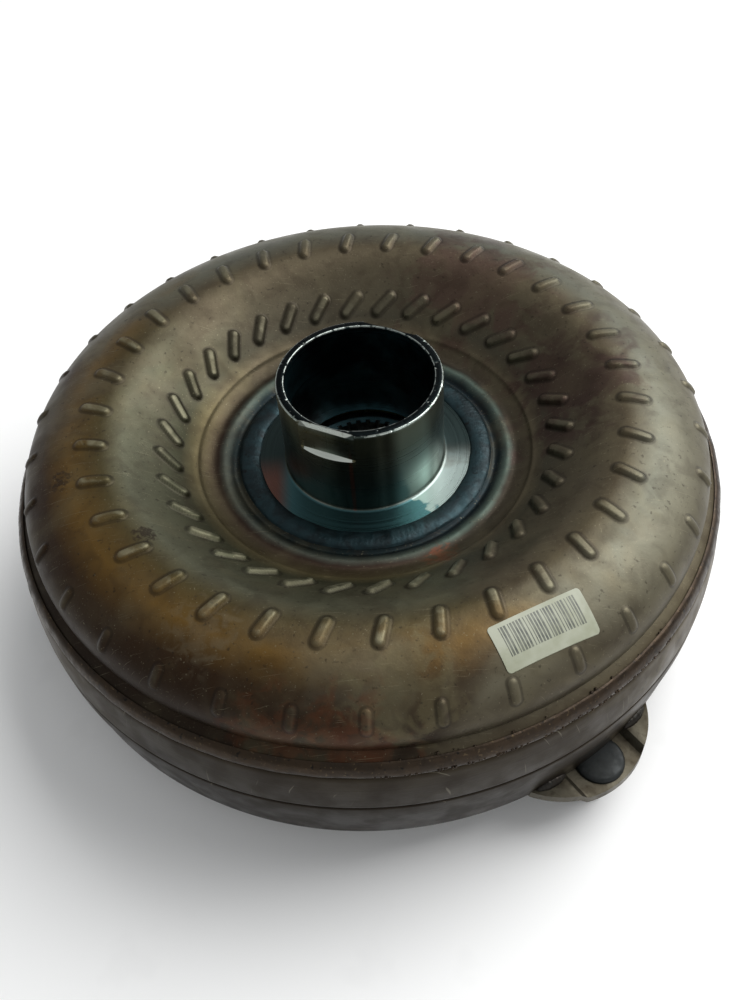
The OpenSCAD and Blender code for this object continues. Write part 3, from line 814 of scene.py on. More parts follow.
def revolve(name: str, rings: list[Ring], shift=None, closed: bool = True,
            sharp_deg: float = 35.0) -> bpy.types.Object:
    """Turn an outline round the Z axis.

    Args:
        name: The piece's name.
        rings: Radius, height and vertex count of each ring; a count of 1 is a pole.
        shift: A function from radius, height and azimuth arrays to new radius and height arrays.
        closed: Whether the last ring joins the first.
        sharp_deg: Edges that turn more than this stay crisp.

    Returns:
        The object.
    """
    blocks, starts, total = [], [], 0
    for r, z, n in rings:
        a = np.arange(n) * 2 * math.pi / n
        rr, zz = np.full(n, float(r)), np.full(n, float(z))
        if shift is not None and n > 1:
            rr, zz = shift(rr, zz, a)
        blocks.append(around(rr, zz, a))
        starts.append(total)
        total += n
    faces: Faces = []
    last = len(rings) if closed else len(rings) - 1
    for i in range(last):
        j = (i + 1) % len(rings)
        stitch(faces, starts[i], rings[i][2], starts[j], rings[j][2])
    return make_piece(name, np.concatenate(blocks), faces, sharp_deg)


def roughen(points: np.ndarray, size_mm: float, seed: float) -> np.ndarray:
    """Give each point a smooth random value from -1 to 1.

    Args:
        points: An array of N rows of X, Y and Z in millimetres.
        size_mm: The size of one lump.
        seed: Shifts the pattern.

    Returns:
        An array of N values.
    """
    return np.array([noise.noise(Vector(p) / size_mm + Vector((seed, seed, seed))) for p in points])


def tube_faces(rings: int, sides: int) -> Faces:
    """Join a row of rings that all have the same number of points."""
    return [(i * sides + k, i * sides + (k + 1) % sides, (i + 1) * sides + (k + 1) % sides,
             (i + 1) * sides + k) for i in range(rings - 1) for k in range(sides)]


def sheet_faces(columns: int, rows: int) -> Faces:
    """Join two layers of grid points, the lower one first, into a closed sheet.

    Args:
        columns: Cells along the first direction; each layer lists its points column by column.
        rows: Cells along the second direction.

    Returns:
        The faces of the two layers and of the wall round their edges.
    """
    width = rows + 1
    top = (columns + 1) * width
    under = [(i * width + k, i * width + k + 1, (i + 1) * width + k + 1, (i + 1) * width + k)
             for i in range(columns) for k in range(rows)]
    faces = [face[::-1] for face in under] + [tuple(v + top for v in face) for face in under]
    loop = ([k for k in range(rows)] + [i * width + rows for i in range(columns)]
            + [columns * width + k for k in range(rows, 0, -1)]
            + [i * width for i in range(columns, 0, -1)])
    return faces + [(a, b, b + top, a + top) for a, b in zip(loop, loop[1:] + loop[:1])]


def swept_bead(name: str, path: np.ndarray, normals: np.ndarray, width: float, height: float,
               ripple_mm: float) -> Solid:
    """Sweep a rippled weld bead along a path, thin at both ends.

    Args:
        name: A word that seeds the bead's unevenness.
        path: Centre points along the bead, in millimetres.
        normals: The direction that the bead stands up in at each point.
        width: The bead's width.
        height: How far it stands up.
        ripple_mm: The distance between two ripples.

    Returns:
        The points and faces of a closed mesh.
    """
    sides = 14
    seed = float(len(name))
    runs = run_lengths([tuple(p) for p in path])
    rows = []
    for p, up, run in zip(path, normals, runs):
        ahead = path[min(len(path) - 1, len(rows) + 1)] - path[max(0, len(rows) - 1)]
        across = np.cross(ahead / np.linalg.norm(ahead), up)
        taper = min(1.0, math.sqrt(max(0.02, min(run, runs[-1] - run) / width)))
        swell = taper * (1 + 0.06 * abs(math.sin(math.pi * run / ripple_mm))
                         + 0.12 * noise.noise(Vector((run, seed, 0))))
        rows.append([p + across * width / 2 * swell * math.cos(t)
                     + up * height * swell * math.sin(t) for t in np.arange(sides) * 2 * math.pi
                     / sides])
    points = np.array(rows).reshape(-1, 3)
    faces = tube_faces(len(rows), sides)
    faces.append(tuple(range(sides)))
    faces.append(tuple((len(rows) - 1) * sides + k for k in reversed(range(sides))))
    return points, faces


def joined(parts: list[Solid]) -> Solid:
    """Put several separate meshes into one list of points and faces."""
    points, faces, offset = [], [], 0
    for p, f in parts:
        points.append(p)
        faces += [tuple(i + offset for i in face) for face in f]
        offset += len(p)
    return np.concatenate(points), faces


# ---------------------------------------------------------------- geometry nodes

class GeometryTree:
    """A Geometry Nodes tree with named inputs, which a piece is run through and baked."""

    def __init__(self, name: str, inputs: dict[str, tuple[str, object]]) -> None:
        """Start a tree.

        Args:
            name: The tree's name.
            inputs: For each named input, its socket type and its default.
        """
        self.tree = bpy.data.node_groups.new(name, "GeometryNodeTree")
        face = self.tree.interface
        face.new_socket("Geometry", in_out="INPUT", socket_type="NodeSocketGeometry")
        face.new_socket("Geometry", in_out="OUTPUT", socket_type="NodeSocketGeometry")
        for label, (kind, default) in inputs.items():
            socket = face.new_socket(label, in_out="INPUT", socket_type=kind)
            if default is not None:
                socket.default_value = default
        self.given = self.add("NodeGroupInput").outputs
        self.result = self.add("NodeGroupOutput")

    def add(self, kind: str, inputs: dict | None = None, **settings) -> bpy.types.Node:
        """Add a node to this tree."""
        return add_node(self.tree, kind, inputs, **settings)

    def value(self, operation: str, *terms: Socket | float) -> Socket:
        """Work out one number from others."""
        return self.add("ShaderNodeMath", dict(enumerate(terms)), operation=operation).outputs[0]

    def end(self, geometry: Socket, finish: Socket) -> None:
        """Close the tree: instances are made real and the finish is set."""
        real = self.add("GeometryNodeRealizeInstances", {0: geometry})
        dressed = self.add("GeometryNodeSetMaterial", {0: real.outputs[0], "Material": finish})
        self.tree.links.new(dressed.outputs[0], self.result.inputs[0])

    def put_on(self, piece: bpy.types.Object, **values: object) -> None:
        """Put the tree on a piece as a modifier, with its inputs set by their identifiers.

        Args:
            piece: The object.
            values: Input values by name, with _ for a space.
        """
        modifier = piece.modifiers.new(self.tree.name, "NODES")
        modifier.node_group = self.tree
        for item in self.tree.interface.items_tree:
            key = item.name.replace(" ", "_")
            if item.in_out == "INPUT" and key in values:
                modifier[item.identifier] = values[key]


def bake(piece: bpy.types.Object) -> None:
    """Turn a piece's modifiers into plain mesh, and take them off."""
    bpy.context.view_layer.update()
    shown = piece.evaluated_get(bpy.context.evaluated_depsgraph_get())
    mesh = bpy.data.meshes.new_from_object(shown)
    piece.modifiers.clear()
    mesh.name = piece.name
    piece.data = mesh


def round_edges(piece: bpy.types.Object, width_mm: float, segments: int) -> None:
    """Round a piece's sharp edges, and bake the result.

    Args:
        piece: The object.
        width_mm: How wide the rounding is.
        segments: How many steps it has.
    """
    bevel = piece.modifiers.new("round_edges", "BEVEL")
    bevel.width, bevel.segments = width_mm * MM, segments
    bevel.limit_method, bevel.angle_limit = "ANGLE", math.radians(50)
    bake(piece)


def raised_dimples() -> GeometryTree:
    """Make the tree that raises one ring of dimples on a turned skin.

    The skin's "run" attribute is the distance along its outline. Each dimple is a round-ended
    ridge that is turned by the skew from the line through the axis.

    Returns:
        The tree.
    """
    number = "NodeSocketFloat"
    g = GeometryTree("raised_dimples",
                     {"Count": (number, 34.0), "Row run": (number, 30.0),
                      "Phase": (number, 0.0), "Skew": (number, 0.0),
                      "Length": (number, 12.0), "Width": (number, 4.0),
                      "Rise": (number, 1.0), "Seed": ("NodeSocketInt", 1),
                      "Finish": ("NodeSocketMaterial", None)})
    place = g.add("ShaderNodeSeparateXYZ",
                  {0: g.add("GeometryNodeInputPosition").outputs[0]}).outputs
    azimuth = g.value("ARCTAN2", place[1], place[0])
    squares = g.value("ADD", g.value("MULTIPLY", place[0], place[0]),
                      g.value("MULTIPLY", place[1], place[1]))
    radius = g.value("DIVIDE", g.value("SQRT", squares), MM)
    pitch = g.value("DIVIDE", 2 * math.pi, g.given["Count"])
    turn = g.value("DIVIDE", g.value("SUBTRACT", azimuth, g.given["Phase"]), pitch)
    nearest = g.value("ROUND", turn)
    across = g.value("MULTIPLY", g.value("MULTIPLY", g.value("SUBTRACT", turn, nearest),
                                         pitch), radius)
    run = g.add("GeometryNodeInputNamedAttribute", {"Name": RUN}, data_type="FLOAT").outputs[0]
    out = g.value("SUBTRACT", run, g.given["Row run"])
    cos, sin = g.value("COSINE", g.given["Skew"]), g.value("SINE", g.given["Skew"])
    u = g.value("SUBTRACT", g.value("MULTIPLY", out, cos), g.value("MULTIPLY", across, sin))
    v = g.value("ADD", g.value("MULTIPLY", out, sin), g.value("MULTIPLY", across, cos))
    half_line = g.value("DIVIDE", g.value("SUBTRACT", g.given["Length"], g.given["Width"]), 2.0)
    beyond = g.value("MAXIMUM", g.value("SUBTRACT", g.value("ABSOLUTE", u), half_line), 0.0)
    reach = g.value("SQRT", g.value("ADD", g.value("MULTIPLY", beyond, beyond),
                                    g.value("MULTIPLY", v, v)))
    share = g.value("DIVIDE", reach, g.value("DIVIDE", g.given["Width"], 2.0))
    shape = g.add("ShaderNodeMapRange",
                  {"Value": share, "From Min": 0.4, "From Max": 1.08, "To Min": 1.0,
                   "To Max": 0.0}, interpolation_type="SMOOTHSTEP").outputs[0]
    # How close to a dimple's spine each point lies: 1 on it, 0.5 at its foot, 0 a width away
    near = g.value("MAXIMUM", g.value("SUBTRACT", 1.0, g.value("MULTIPLY", share, 0.5)), 0.0)
    before = g.add("GeometryNodeInputNamedAttribute", {"Name": PRESS}, data_type="FLOAT").outputs[0]
    marked = g.add("GeometryNodeStoreNamedAttribute", {
        0: g.given["Geometry"], "Name": PRESS, "Value": g.value("MAXIMUM", near, before)},
        data_type="FLOAT", domain="POINT").outputs[0]
    # No two tabs press out the same
    same = g.value("FLOORED_MODULO", nearest, g.given["Count"])
    luck = g.add("FunctionNodeRandomValue", {2: 0.78, 3: 1.12, "ID": same, "Seed": g.given["Seed"]},
                 data_type="FLOAT").outputs[1]
    lift = g.value("MULTIPLY", g.value("MULTIPLY", shape, luck),
                   g.value("MULTIPLY", g.given["Rise"], MM))
    step = g.add("ShaderNodeVectorMath",
                 {0: g.add("GeometryNodeInputNormal").outputs[0], "Scale": lift},
                 operation="SCALE").outputs[0]
    moved = g.add("GeometryNodeSetPosition", {0: marked, "Offset": step}).outputs[0]
    g.end(moved, g.given["Finish"])
    return g


def coil_springs() -> GeometryTree:
    """Make the tree that winds springs and sets them on a ring, each along the ring's tangent.

    Returns:
        The tree.
    """
    number = "NodeSocketFloat"
    g = GeometryTree("coil_springs", {"Count": ("NodeSocketInt", 6),
                                      "Ring radius": (number, 0.066),
                                      "Ring height": (number, 0.032),
                                      "Length": (number, 0.03),
                                      "Coil radius": (number, 0.0044),
                                      "Wire radius": (number, 0.0011),
                                      "Turns": (number, 9.0),
                                      "Finish": ("NodeSocketMaterial", None)})
    coil = g.add("GeometryNodeCurveSpiral",
                 {"Resolution": 20, "Rotations": g.given["Turns"],
                  "Start Radius": g.given["Coil radius"],
                  "End Radius": g.given["Coil radius"], "Height": g.given["Length"]})
    wire = g.add("GeometryNodeCurvePrimitiveCircle",
                 {"Resolution": 10, "Radius": g.given["Wire radius"]})
    tube = g.add("GeometryNodeCurveToMesh",
                 {"Curve": coil.outputs[0], "Profile Curve": wire.outputs[0], "Fill Caps": True})
    middle = g.add("ShaderNodeCombineXYZ", {2: g.value("MULTIPLY", g.given["Length"], -0.5)})
    centred = g.add("GeometryNodeTransform", {0: tube.outputs[0], "Translation": middle.outputs[0]})
    smooth = g.add("GeometryNodeSetShadeSmooth", {0: centred.outputs[0]})
    line = g.add("GeometryNodeMeshCircle",
                 {"Vertices": g.given["Count"], "Radius": g.given["Ring radius"]})
    lifted = g.add("GeometryNodeSetPosition",
                   {0: line.outputs[0], "Offset": g.add("ShaderNodeCombineXYZ",
                                                        {2: g.given["Ring height"]}).outputs[0]})
    index = g.add("GeometryNodeInputIndex").outputs[0]
    turn = g.value("MULTIPLY", index, g.value("DIVIDE", 2 * math.pi, g.given["Count"]))
    # A coil stands along Z: lay it along Y, then turn it to its place on the ring
    lay = g.add("ShaderNodeCombineXYZ", {0: math.pi / 2, 1: 0.0, 2: turn})
    rotation = g.add("FunctionNodeEulerToRotation", {0: lay.outputs[0]})
    copies = g.add("GeometryNodeInstanceOnPoints",
                   {"Points": lifted.outputs[0], "Instance": smooth.outputs[0],
                    "Rotation": rotation.outputs[0]})
    g.end(copies.outputs[0], g.given["Finish"])
    return g


def weld_spatter() -> GeometryTree:
    """Make the tree that scatters small drops of weld metal over a conical band.

    Returns:
        The tree.
    """
    number = "NodeSocketFloat"
    g = GeometryTree("weld_spatter", {
        "Count": ("NodeSocketInt", 200), "From": (number, 0.0), "To": (number, 1.0),
        "Low radius": (number, 0.135), "Low height": (number, 0.07), "High radius": (number, 0.13),
        "High height": (number, 0.08), "Smallest": (number, 0.0002), "Largest": (number, 0.0006),
        "Seed": ("NodeSocketInt", 4), "Finish": ("NodeSocketMaterial", None)})

    def chance(low: Socket | float, high: Socket | float, step: int) -> Socket:
        """Draw a number for each drop, from low to high."""
        seed = g.value("ADD", g.given["Seed"], float(step))
        return g.add("FunctionNodeRandomValue", {2: low, 3: high, "Seed": seed},
                     data_type="FLOAT").outputs[1]

    # Most drops lie low, close to the weld
    up = g.value("POWER", chance(0.0, 1.0, 1), 2.0)
    turn = chance(g.given["From"], g.given["To"], 2)
    rise = g.value("SUBTRACT", g.given["High height"], g.given["Low height"])
    draw = g.value("SUBTRACT", g.given["High radius"], g.given["Low radius"])
    radius = g.value("ADD", g.given["Low radius"], g.value("MULTIPLY", up, draw))
    height = g.value("ADD", g.given["Low height"], g.value("MULTIPLY", up, rise))
    place = g.add("ShaderNodeCombineXYZ",
                  {0: g.value("MULTIPLY", radius, g.value("COSINE", turn)),
                   1: g.value("MULTIPLY", radius, g.value("SINE", turn)), 2: height})
    points = g.add("GeometryNodePoints", {"Count": g.given["Count"], "Position": place.outputs[0]})
    drop = g.add("GeometryNodeMeshIcoSphere", {"Radius": 1.0, "Subdivisions": 2})
    smooth = g.add("GeometryNodeSetShadeSmooth", {0: drop.outputs[0]})
    size = chance(g.given["Smallest"], g.given["Largest"], 3)
    scale = g.add("ShaderNodeCombineXYZ", {0: size, 1: size, 2: g.value("MULTIPLY", size, 0.8)})
    copies = g.add("GeometryNodeInstanceOnPoints",
                   {"Points": points.outputs[0], "Instance": smooth.outputs[0],
                    "Scale": scale.outputs[0]})
    g.end(copies.outputs[0], g.given["Finish"])
    return g


# ---------------------------------------------------------------- handing pieces to the frame

def dress(piece: bpy.types.Object, material: bpy.types.Material) -> None:
    """Give a piece one material in place of any it has."""
    piece.data.materials.clear()
    piece.data.materials.append(material)


def hand_over(piece: bpy.types.Object, body: str, slot: str, *nodes: str) -> None:
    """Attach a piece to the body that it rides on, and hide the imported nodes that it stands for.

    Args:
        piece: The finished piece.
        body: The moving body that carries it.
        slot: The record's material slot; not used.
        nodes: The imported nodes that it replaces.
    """
    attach(piece, body)
    if nodes:
        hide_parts(*nodes)
    log.info("%s rides on %s, %d faces", piece.name, body, len(piece.data.polygons))


# ---------------------------------------------------------------- sub-assemblies

@dataclass(frozen=True)
class DimpleRow:
    """One ring of dimples that the vane tabs raise from inside."""

    radius_mm: float
    phase_deg: float
    skew_deg: float
    length_mm: float
    width_mm: float
    rise_mm: float
    seed: int


@dataclass
class ImpellerShell:
    """The drawn rear shell: a bead round the hub, a dish, a crest and a closing skirt."""

    bore_r: float = 43.05
    dish_deg: float = 36.7
    dish_start: Point = (69.6, 76.2)
    crest_r: float = 103.1
    crest_z: float = 95.5
    inner_arc: float = 22.8
    outer_arc: float = 38.1
    side_arc: float = 14.0
    side_centre: Point = (118.9, 75.6)
    arc_join_deg: float = 49.0
    rim_end_deg: float = -16.0
    wall: float = 4.0
    skirt_r: float = 135.7
    skirt_z: float = 58.0
    dimples: int = 34
    coarse: int = 204
    fine: int = 1224
    row_margin: float = 2.3
    lead_in: float = 0.8
    dimple_step: float = 0.86
    valley_step: float = 0.7
    valley_run: float = 26.0
    ring_step: float = 1.7
    inside_step: float = 3.0
    no_run: float = -1000.0
    inner_foot: Point = (57.0, 64.9)
    rows: tuple[DimpleRow, ...] = (
        DimpleRow(76.6, 112.14, 40.0, 14.0, 4.8, 1.5, 3),
        DimpleRow(103.1, 186.04, 15.0, 12.8, 4.8, 1.35, 5),
        DimpleRow(129.5, 204.03, 3.0, 9.6, 3.8, 0.9, 9),
    )

    def valley(self) -> list[Point]:
        """List the outline from the hub weld to the lip below the dish."""
        return [(self.bore_r, 69.3), (50.3, 69.3), (51.2, 68.4), (52.4, 68.4), (54.4, 70.2),
                (56.6, 71.0), (58.2, 70.6), (60.2, 70.2), (63.0, 71.1), (65.6, 72.7),
                (66.4, 74.1), (67.2, 74.4), self.dish_start]

    def ring_line(self, inward: float) -> list[Point]:
        """List the outline of the dish, the crest and the rim.

        Args:
            inward: How far inside the outer surface it lies.

        Returns:
            Points from the dish to the rim.
        """
        first = (self.dish_start[0] + inward * math.sin(math.radians(self.dish_deg)),
                 self.dish_start[1] - inward * math.cos(math.radians(self.dish_deg)))
        return [first,
                *arc(self.crest_r, self.crest_z - self.inner_arc, self.inner_arc - inward,
                     90 + self.dish_deg, 90, 24),
                *arc(self.crest_r, self.crest_z - self.outer_arc, self.outer_arc - inward,
                     90, self.arc_join_deg, 30),
                *arc(*self.side_centre, self.side_arc - inward,
                     self.arc_join_deg, self.rim_end_deg, 20)]

    def skirt(self) -> list[Point]:
        """List the outline of the ledge and the skirt that sits in the cover."""
        return [(134.4, 70.6), (self.skirt_r, 69.7), (self.skirt_r, self.skirt_z),
                (self.skirt_r - 4.2, self.skirt_z), (self.skirt_r - 4.2, 69.0)]

    def build(self, material: bpy.types.Material) -> bpy.types.Object:
        """Build the shell with its three rings of dimples.

        Args:
            material: The shell's finish.

        Returns:
            The shell.
        """
        valley = soften(self.valley()[1:-1], 2)
        outer = [self.valley()[0], *valley, *self.ring_line(0.0)]
        radii = np.array([p[0] for p in outer])
        runs = run_lengths(outer)
        row_runs = [float(np.interp(row.radius_mm, radii, runs)) for row in self.rows]
        reach = [row.length_mm / 2 * math.cos(math.radians(row.skew_deg)) + self.row_margin
                 for row in self.rows]

        def in_band(run: float) -> bool:
            """Tell whether a dimple reaches this far along the outline."""
            return any(abs(run - centre) < half for centre, half in zip(row_runs, reach))

        def spacing(run: float) -> float:
            """Choose the distance to the next ring."""
            if in_band(run) or any(0 < centre - half - run < self.lead_in
                                   for centre, half in zip(row_runs, reach)):
                return self.dimple_step
            return self.valley_step if run < self.valley_run else self.ring_step

        skin = resample(outer, spacing)
        skin_runs = run_lengths(skin)
        rings = [(r, z, self.fine if in_band(run) else self.coarse) for (r, z),
                 run in zip(skin, skin_runs)]
        inside = resample(self.ring_line(self.wall)[::-1], lambda run: self.inside_step)
        rest = [*self.skirt(), *inside, self.inner_foot, (self.bore_r, self.inner_foot[1])]
        rings += [(r, z, self.coarse) for r, z in rest]
        shell = revolve("impeller_shell_skin", rings)
        run_values = np.concatenate([np.full(n, skin_runs[i] if i < len(skin) else self.no_run)
                                     for i, (_, _, n) in enumerate(rings)])
        attribute = shell.data.attributes.new(RUN, "FLOAT", "POINT")
        attribute.data.foreach_set("value", run_values.astype(np.float32))
        dress(shell, material)
        tree = raised_dimples()
        for row, run in zip(self.rows, row_runs):
            tree.put_on(shell, Count=float(self.dimples), Row_run=run,
                        Phase=math.radians(row.phase_deg), Skew=math.radians(row.skew_deg),
                        Length=row.length_mm, Width=row.width_mm, Rise=row.rise_mm,
                        Seed=row.seed, Finish=material)
        bake(shell)
        shell.data.attributes.remove(shell.data.attributes[RUN])
        hand_over(shell, "housing", "tinted_shell_steel", "impeller_shell")
        return shell


@dataclass
class PumpHub:
    """The hub tube with two drive flats and a welded foot, and the weld round it."""

    tube_r: float = 31.5
    bore_r: float = 28.1
    foot_r: float = 43.0
    foot_z: tuple[float, float] = (64.5, 69.5)
    top_z: float = 110.0
    fillet: float = 1.5
    flat_deg: float = 243.0
    flat_depth: float = 2.1
    flat_z: float = 97.0
    bevel_rise: float = 1.95
    bevel_slope: float = 0.52
    uncut: float = 99.0
    nick_depth: float = 0.9
    segments: int = 720

    def outer_radius(self, radius: np.ndarray, z: np.ndarray, azimuth: np.ndarray) -> np.ndarray:
        """Cut the two flats into the tube's outside.

        Args:
            radius: The uncut radius of each point.
            z: The height of each point.
            azimuth: The direction of each point.

        Returns:
            The cut radius of each point.
        """
        off = np.abs((azimuth - math.radians(self.flat_deg) + math.pi / 2) % math.pi - math.pi / 2)
        chord = (self.tube_r - self.flat_depth) / np.cos(off)
        return np.where(z > self.flat_z - 0.5, np.minimum(radius, chord), radius)

    def shape(self, radius: np.ndarray, z: np.ndarray, azimuth: np.ndarray) -> Moved:
        """Cut the flats, with a wide bevel at their top, and nick the rim."""
        on_outside = radius > self.bore_r + 0.75
        cut = self.outer_radius(radius, z, azimuth)
        flat_here = self.outer_radius(np.full_like(radius, self.tube_r),
                                      np.full_like(z, self.top_z), azimuth)
        bevel = np.where((z > self.top_z
                          - self.bevel_rise) & on_outside & (flat_here < self.tube_r
                                                             - 0.05), flat_here
                         - self.bevel_slope * (z - self.top_z + self.bevel_rise), self.uncut)
        cut = np.where(on_outside, np.minimum(cut, bevel), radius)
        points = around(radius, z, azimuth)
        lumps = roughen(points, 1.3, 7.0) if z[0] > self.top_z - 1.2 else np.zeros_like(z)
        nick = np.clip(lumps - 0.32, 0, 0.5) * self.nick_depth
        return cut - np.where(on_outside, nick, -nick), z - nick * 0.7

    def build(self, material: bpy.types.Material) -> bpy.types.Object:
        """Build the hub.

        Args:
            material: The hub's finish.

        Returns:
            The hub.
        """
        low, foot_top = self.foot_z
        foot = [(self.bore_r, low), (self.foot_r, low), (self.foot_r, foot_top - 0.3),
                (self.foot_r - 0.3, foot_top),
                *arc(self.tube_r + self.fillet, foot_top + self.fillet, self.fillet, 270, 180, 6)]
        tube = [(self.tube_r, z) for z in (78.0, 86.0, 92.0, self.flat_z - 0.55, self.flat_z
                                           + 0.35, 101.0, 105.0, 108.05, 108.1, 109.2)]
        rim = [(31.42, 109.45), (31.2, 109.7), (30.85, 109.9), (30.4, 110.0), (29.6, 110.0),
               (28.8, 110.0), (28.35, 109.85), (28.15, 109.5), (self.bore_r, 109.0)]
        bore = [(self.bore_r, z) for z in (104.0, 96.0, 86.0, 75.0)]
        rings = [(r, z, self.segments) for r, z in [*foot, *tube, *rim, *bore]]
        hub = revolve("pump_hub_tube", rings, self.shape, sharp_deg=30)
        dress(hub, material)
        hand_over(hub, "housing", "machined_hub_steel", "impeller_hub")
        return hub

    def weld(self, material: bpy.types.Material) -> bpy.types.Object:
        """Build the flat, uneven weld ring between the foot and the shell."""

        def uneven(radius: np.ndarray, z: np.ndarray, azimuth: np.ndarray) -> Moved:
            """Lift the bead in waves and let its edges wander."""
            points = around(radius, z, azimuth)
            ripple = 0.07 * np.sin(azimuth * 150 + radius * 0.5) + 0.16 * roughen(points, 7.0, 2.0)
            return radius + 0.35 * roughen(points, 9.0, 5.0), z + np.where(z > 69.8, ripple, 0.0)

        outline = soften([(42.0, 69.58), (42.6, 70.15), (44.5, 70.6), (47.0, 70.65),
                          (49.4, 70.25), (50.4, 69.38)], 2)
        rings = [(r, z, 360) for r, z in [*outline, (43.3, 69.5)]]
        ring = revolve("hub_weld_ring", rings, uneven)
        dress(ring, material)
        hand_over(ring, "housing", "weld_bead_steel", "hub_weld")
        return ring


@dataclass
class CoverSide:
    """The front cover, its closing weld, the pilot and what is welded to the cover."""

    corner_centre: Point = (127.3, 22.0)
    corner_r: float = 10.0
    face_z: float = 12.0
    recess_z: float = 15.5
    wall: float = 5.0
    cover_r: float = 140.2
    groove_z: float = 45.2
    lip_z: float = 64.2
    boss_r: float = 24.0
    pilot_r: float = 21.0
    floor_z: float = 17.0
    bead_z: float = 67.2
    bead_scales: int = 260
    segments: int = 288
    drops: int = 330
    drops_deg: tuple[float, float] = (268.0, 318.0)
    drops_low: Point = (138.8, 65.5)
    drops_high: Point = (135.2, 70.6)
    drop_size: tuple[float, float] = (0.18, 0.6)

    def outer_wall(self, inward: float) -> list[Point]:
        """List the outline of the cover's corner and lower wall."""
        corner = arc(*self.corner_centre, self.corner_r - inward, 270, 352, 14)
        return [*corner, (138.4 - inward, 29.0), (139.7 - inward, 37.0)]

    def build(self, material: bpy.types.Material) -> bpy.types.Object:
        """Build the cover, whose pressed face has rounded steps.

        Args:
            material: The cover's finish.

        Returns:
            The cover.
        """
        face = soften([(self.boss_r + 0.05, self.face_z), (43.0, self.face_z),
                       (48.0, self.recess_z), (97.0, self.recess_z), (102.0, self.face_z),
                       (112.0, self.face_z)], 3)
        groove = [(self.cover_r - 0.08, 43.8), (self.cover_r - 0.2, 44.5),
                  (self.cover_r - 0.75, 44.95), (self.cover_r - 0.75, 45.45),
                  (self.cover_r - 0.12, 45.9), (self.cover_r, 47.0)]
        top = [(self.cover_r - 0.1, 51.0), (self.cover_r - 0.3, 55.0), (139.5, 58.5),
               (138.95, 62.0), (138.6, 63.7), (138.2, self.lip_z), (135.8, self.lip_z),
               (135.8, 52.0), (135.2, 49.0)]
        inner_wall = self.outer_wall(self.wall)[::-1]
        inner_face = soften([(112.0, self.floor_z), (103.0, self.floor_z), (99.0, 20.5),
                             (46.0, 20.5), (42.0, self.floor_z),
                             (self.boss_r + 0.05, self.floor_z)], 2)
        outline = [*face, *self.outer_wall(0.0), *groove, *top, *inner_wall, *inner_face]
        cover = revolve("front_cover_skin", [(r, z, self.segments) for r, z in outline],
                        sharp_deg=50)
        dress(cover, material)
        hand_over(cover, "housing", "cover_steel", "front_cover")
        return cover

    def closing_weld(self, material: bpy.types.Material) -> bpy.types.Object:
        """Build the weld that closes the housing, with its fish-scale ripples."""

        def ripples(radius: np.ndarray, z: np.ndarray, azimuth: np.ndarray) -> Moved:
            """Lay curved scales round the bead's outside."""
            points = around(radius, z, azimuth)
            outside = radius > 136.2
            chevron = np.abs(z - self.bead_z) * 0.022
            scale = 0.13 * np.abs(np.sin((azimuth
                                          + chevron) * self.bead_scales)) + 0.22 * roughen(points,
                                                                                           8.0, 3.0)
            return radius + np.where(outside, scale, 0.0), z + np.where(outside,
                                                                        0.1 * roughen(points,
                                                                                      5.0, 9.0),
                                                                        0.0)

        outline = soften([(135.75, 64.3), (138.1, 64.3), (138.7, 65.4), (138.5, 67.0),
                          (137.6, 69.0), (136.5, 70.0), (135.75, 70.2)], 2)
        weld = revolve("closing_weld_bead", [(r, z, 1040) for r, z in outline], ripples)
        dress(weld, material)
        hand_over(weld, "housing", "closing_weld_steel", "closing_weld")
        return weld

    def spatter(self, material: bpy.types.Material) -> bpy.types.Object:
        """Scatter weld drops on the shell above the closing weld, most at the front right."""
        piece = blank_piece("weld_spatter_drops")
        tree = weld_spatter()
        first, last = map(math.radians, self.drops_deg)
        tree.put_on(piece, Count=self.drops, From=first, To=last,
                    Low_radius=self.drops_low[0] * MM, Low_height=self.drops_low[1] * MM,
                    High_radius=self.drops_high[0] * MM, High_height=self.drops_high[1] * MM,
                    Smallest=self.drop_size[0] * MM, Largest=self.drop_size[1] * MM,
                    Seed=4, Finish=material)
        bake(piece)
        hand_over(piece, "housing", "closing_weld_steel")
        return piece

    def pilot(self, material: bpy.types.Material,
              weld_material: bpy.types.Material) -> bpy.types.Object:
        """Build the crank pilot with its centre hole, and its weld."""
        outline = [(5.0, 0.7), (6.2, -1.5), (19.3, -1.5), (19.6, -1.42), (20.9, -0.1),
                   (self.pilot_r, 0.2), (self.pilot_r, 4.0), (self.pilot_r, 8.0),
                   (self.pilot_r, 11.3), (21.2, 11.5), (self.boss_r, 11.5),
                   (self.boss_r, self.floor_z)]
        rings = [(0.0, 0.7, 1), *[(r, z, 192) for r, z in outline], (0.0, self.floor_z, 1)]
        pilot = revolve("crank_pilot_spigot", rings, closed=False)
        dress(pilot, material)
        hand_over(pilot, "housing", "pilot_steel", "crank_pilot")

        def lumpy(radius: np.ndarray, z: np.ndarray, azimuth: np.ndarray) -> Moved:
            """Swell the bead's lower side in lumps."""
            points = around(radius, z, azimuth)
            swell = 0.1 * np.abs(np.sin(azimuth * 45)) + 0.15 * roughen(points, 5.0, 1.0)
            return radius, z - np.where(z < 11.4, swell, 0.0)

        bead = soften([(23.1, 11.45), (23.7, 10.8), (24.9, 10.85), (26.5, 11.95)], 2)
        ring = revolve("pilot_weld_ring", [(r, z, 270) for r, z in [*bead, (24.1, 11.95)]], lumpy)
        dress(ring, weld_material)
        hand_over(ring, "housing", "weld_bead_steel", "pilot_weld")
        return pilot


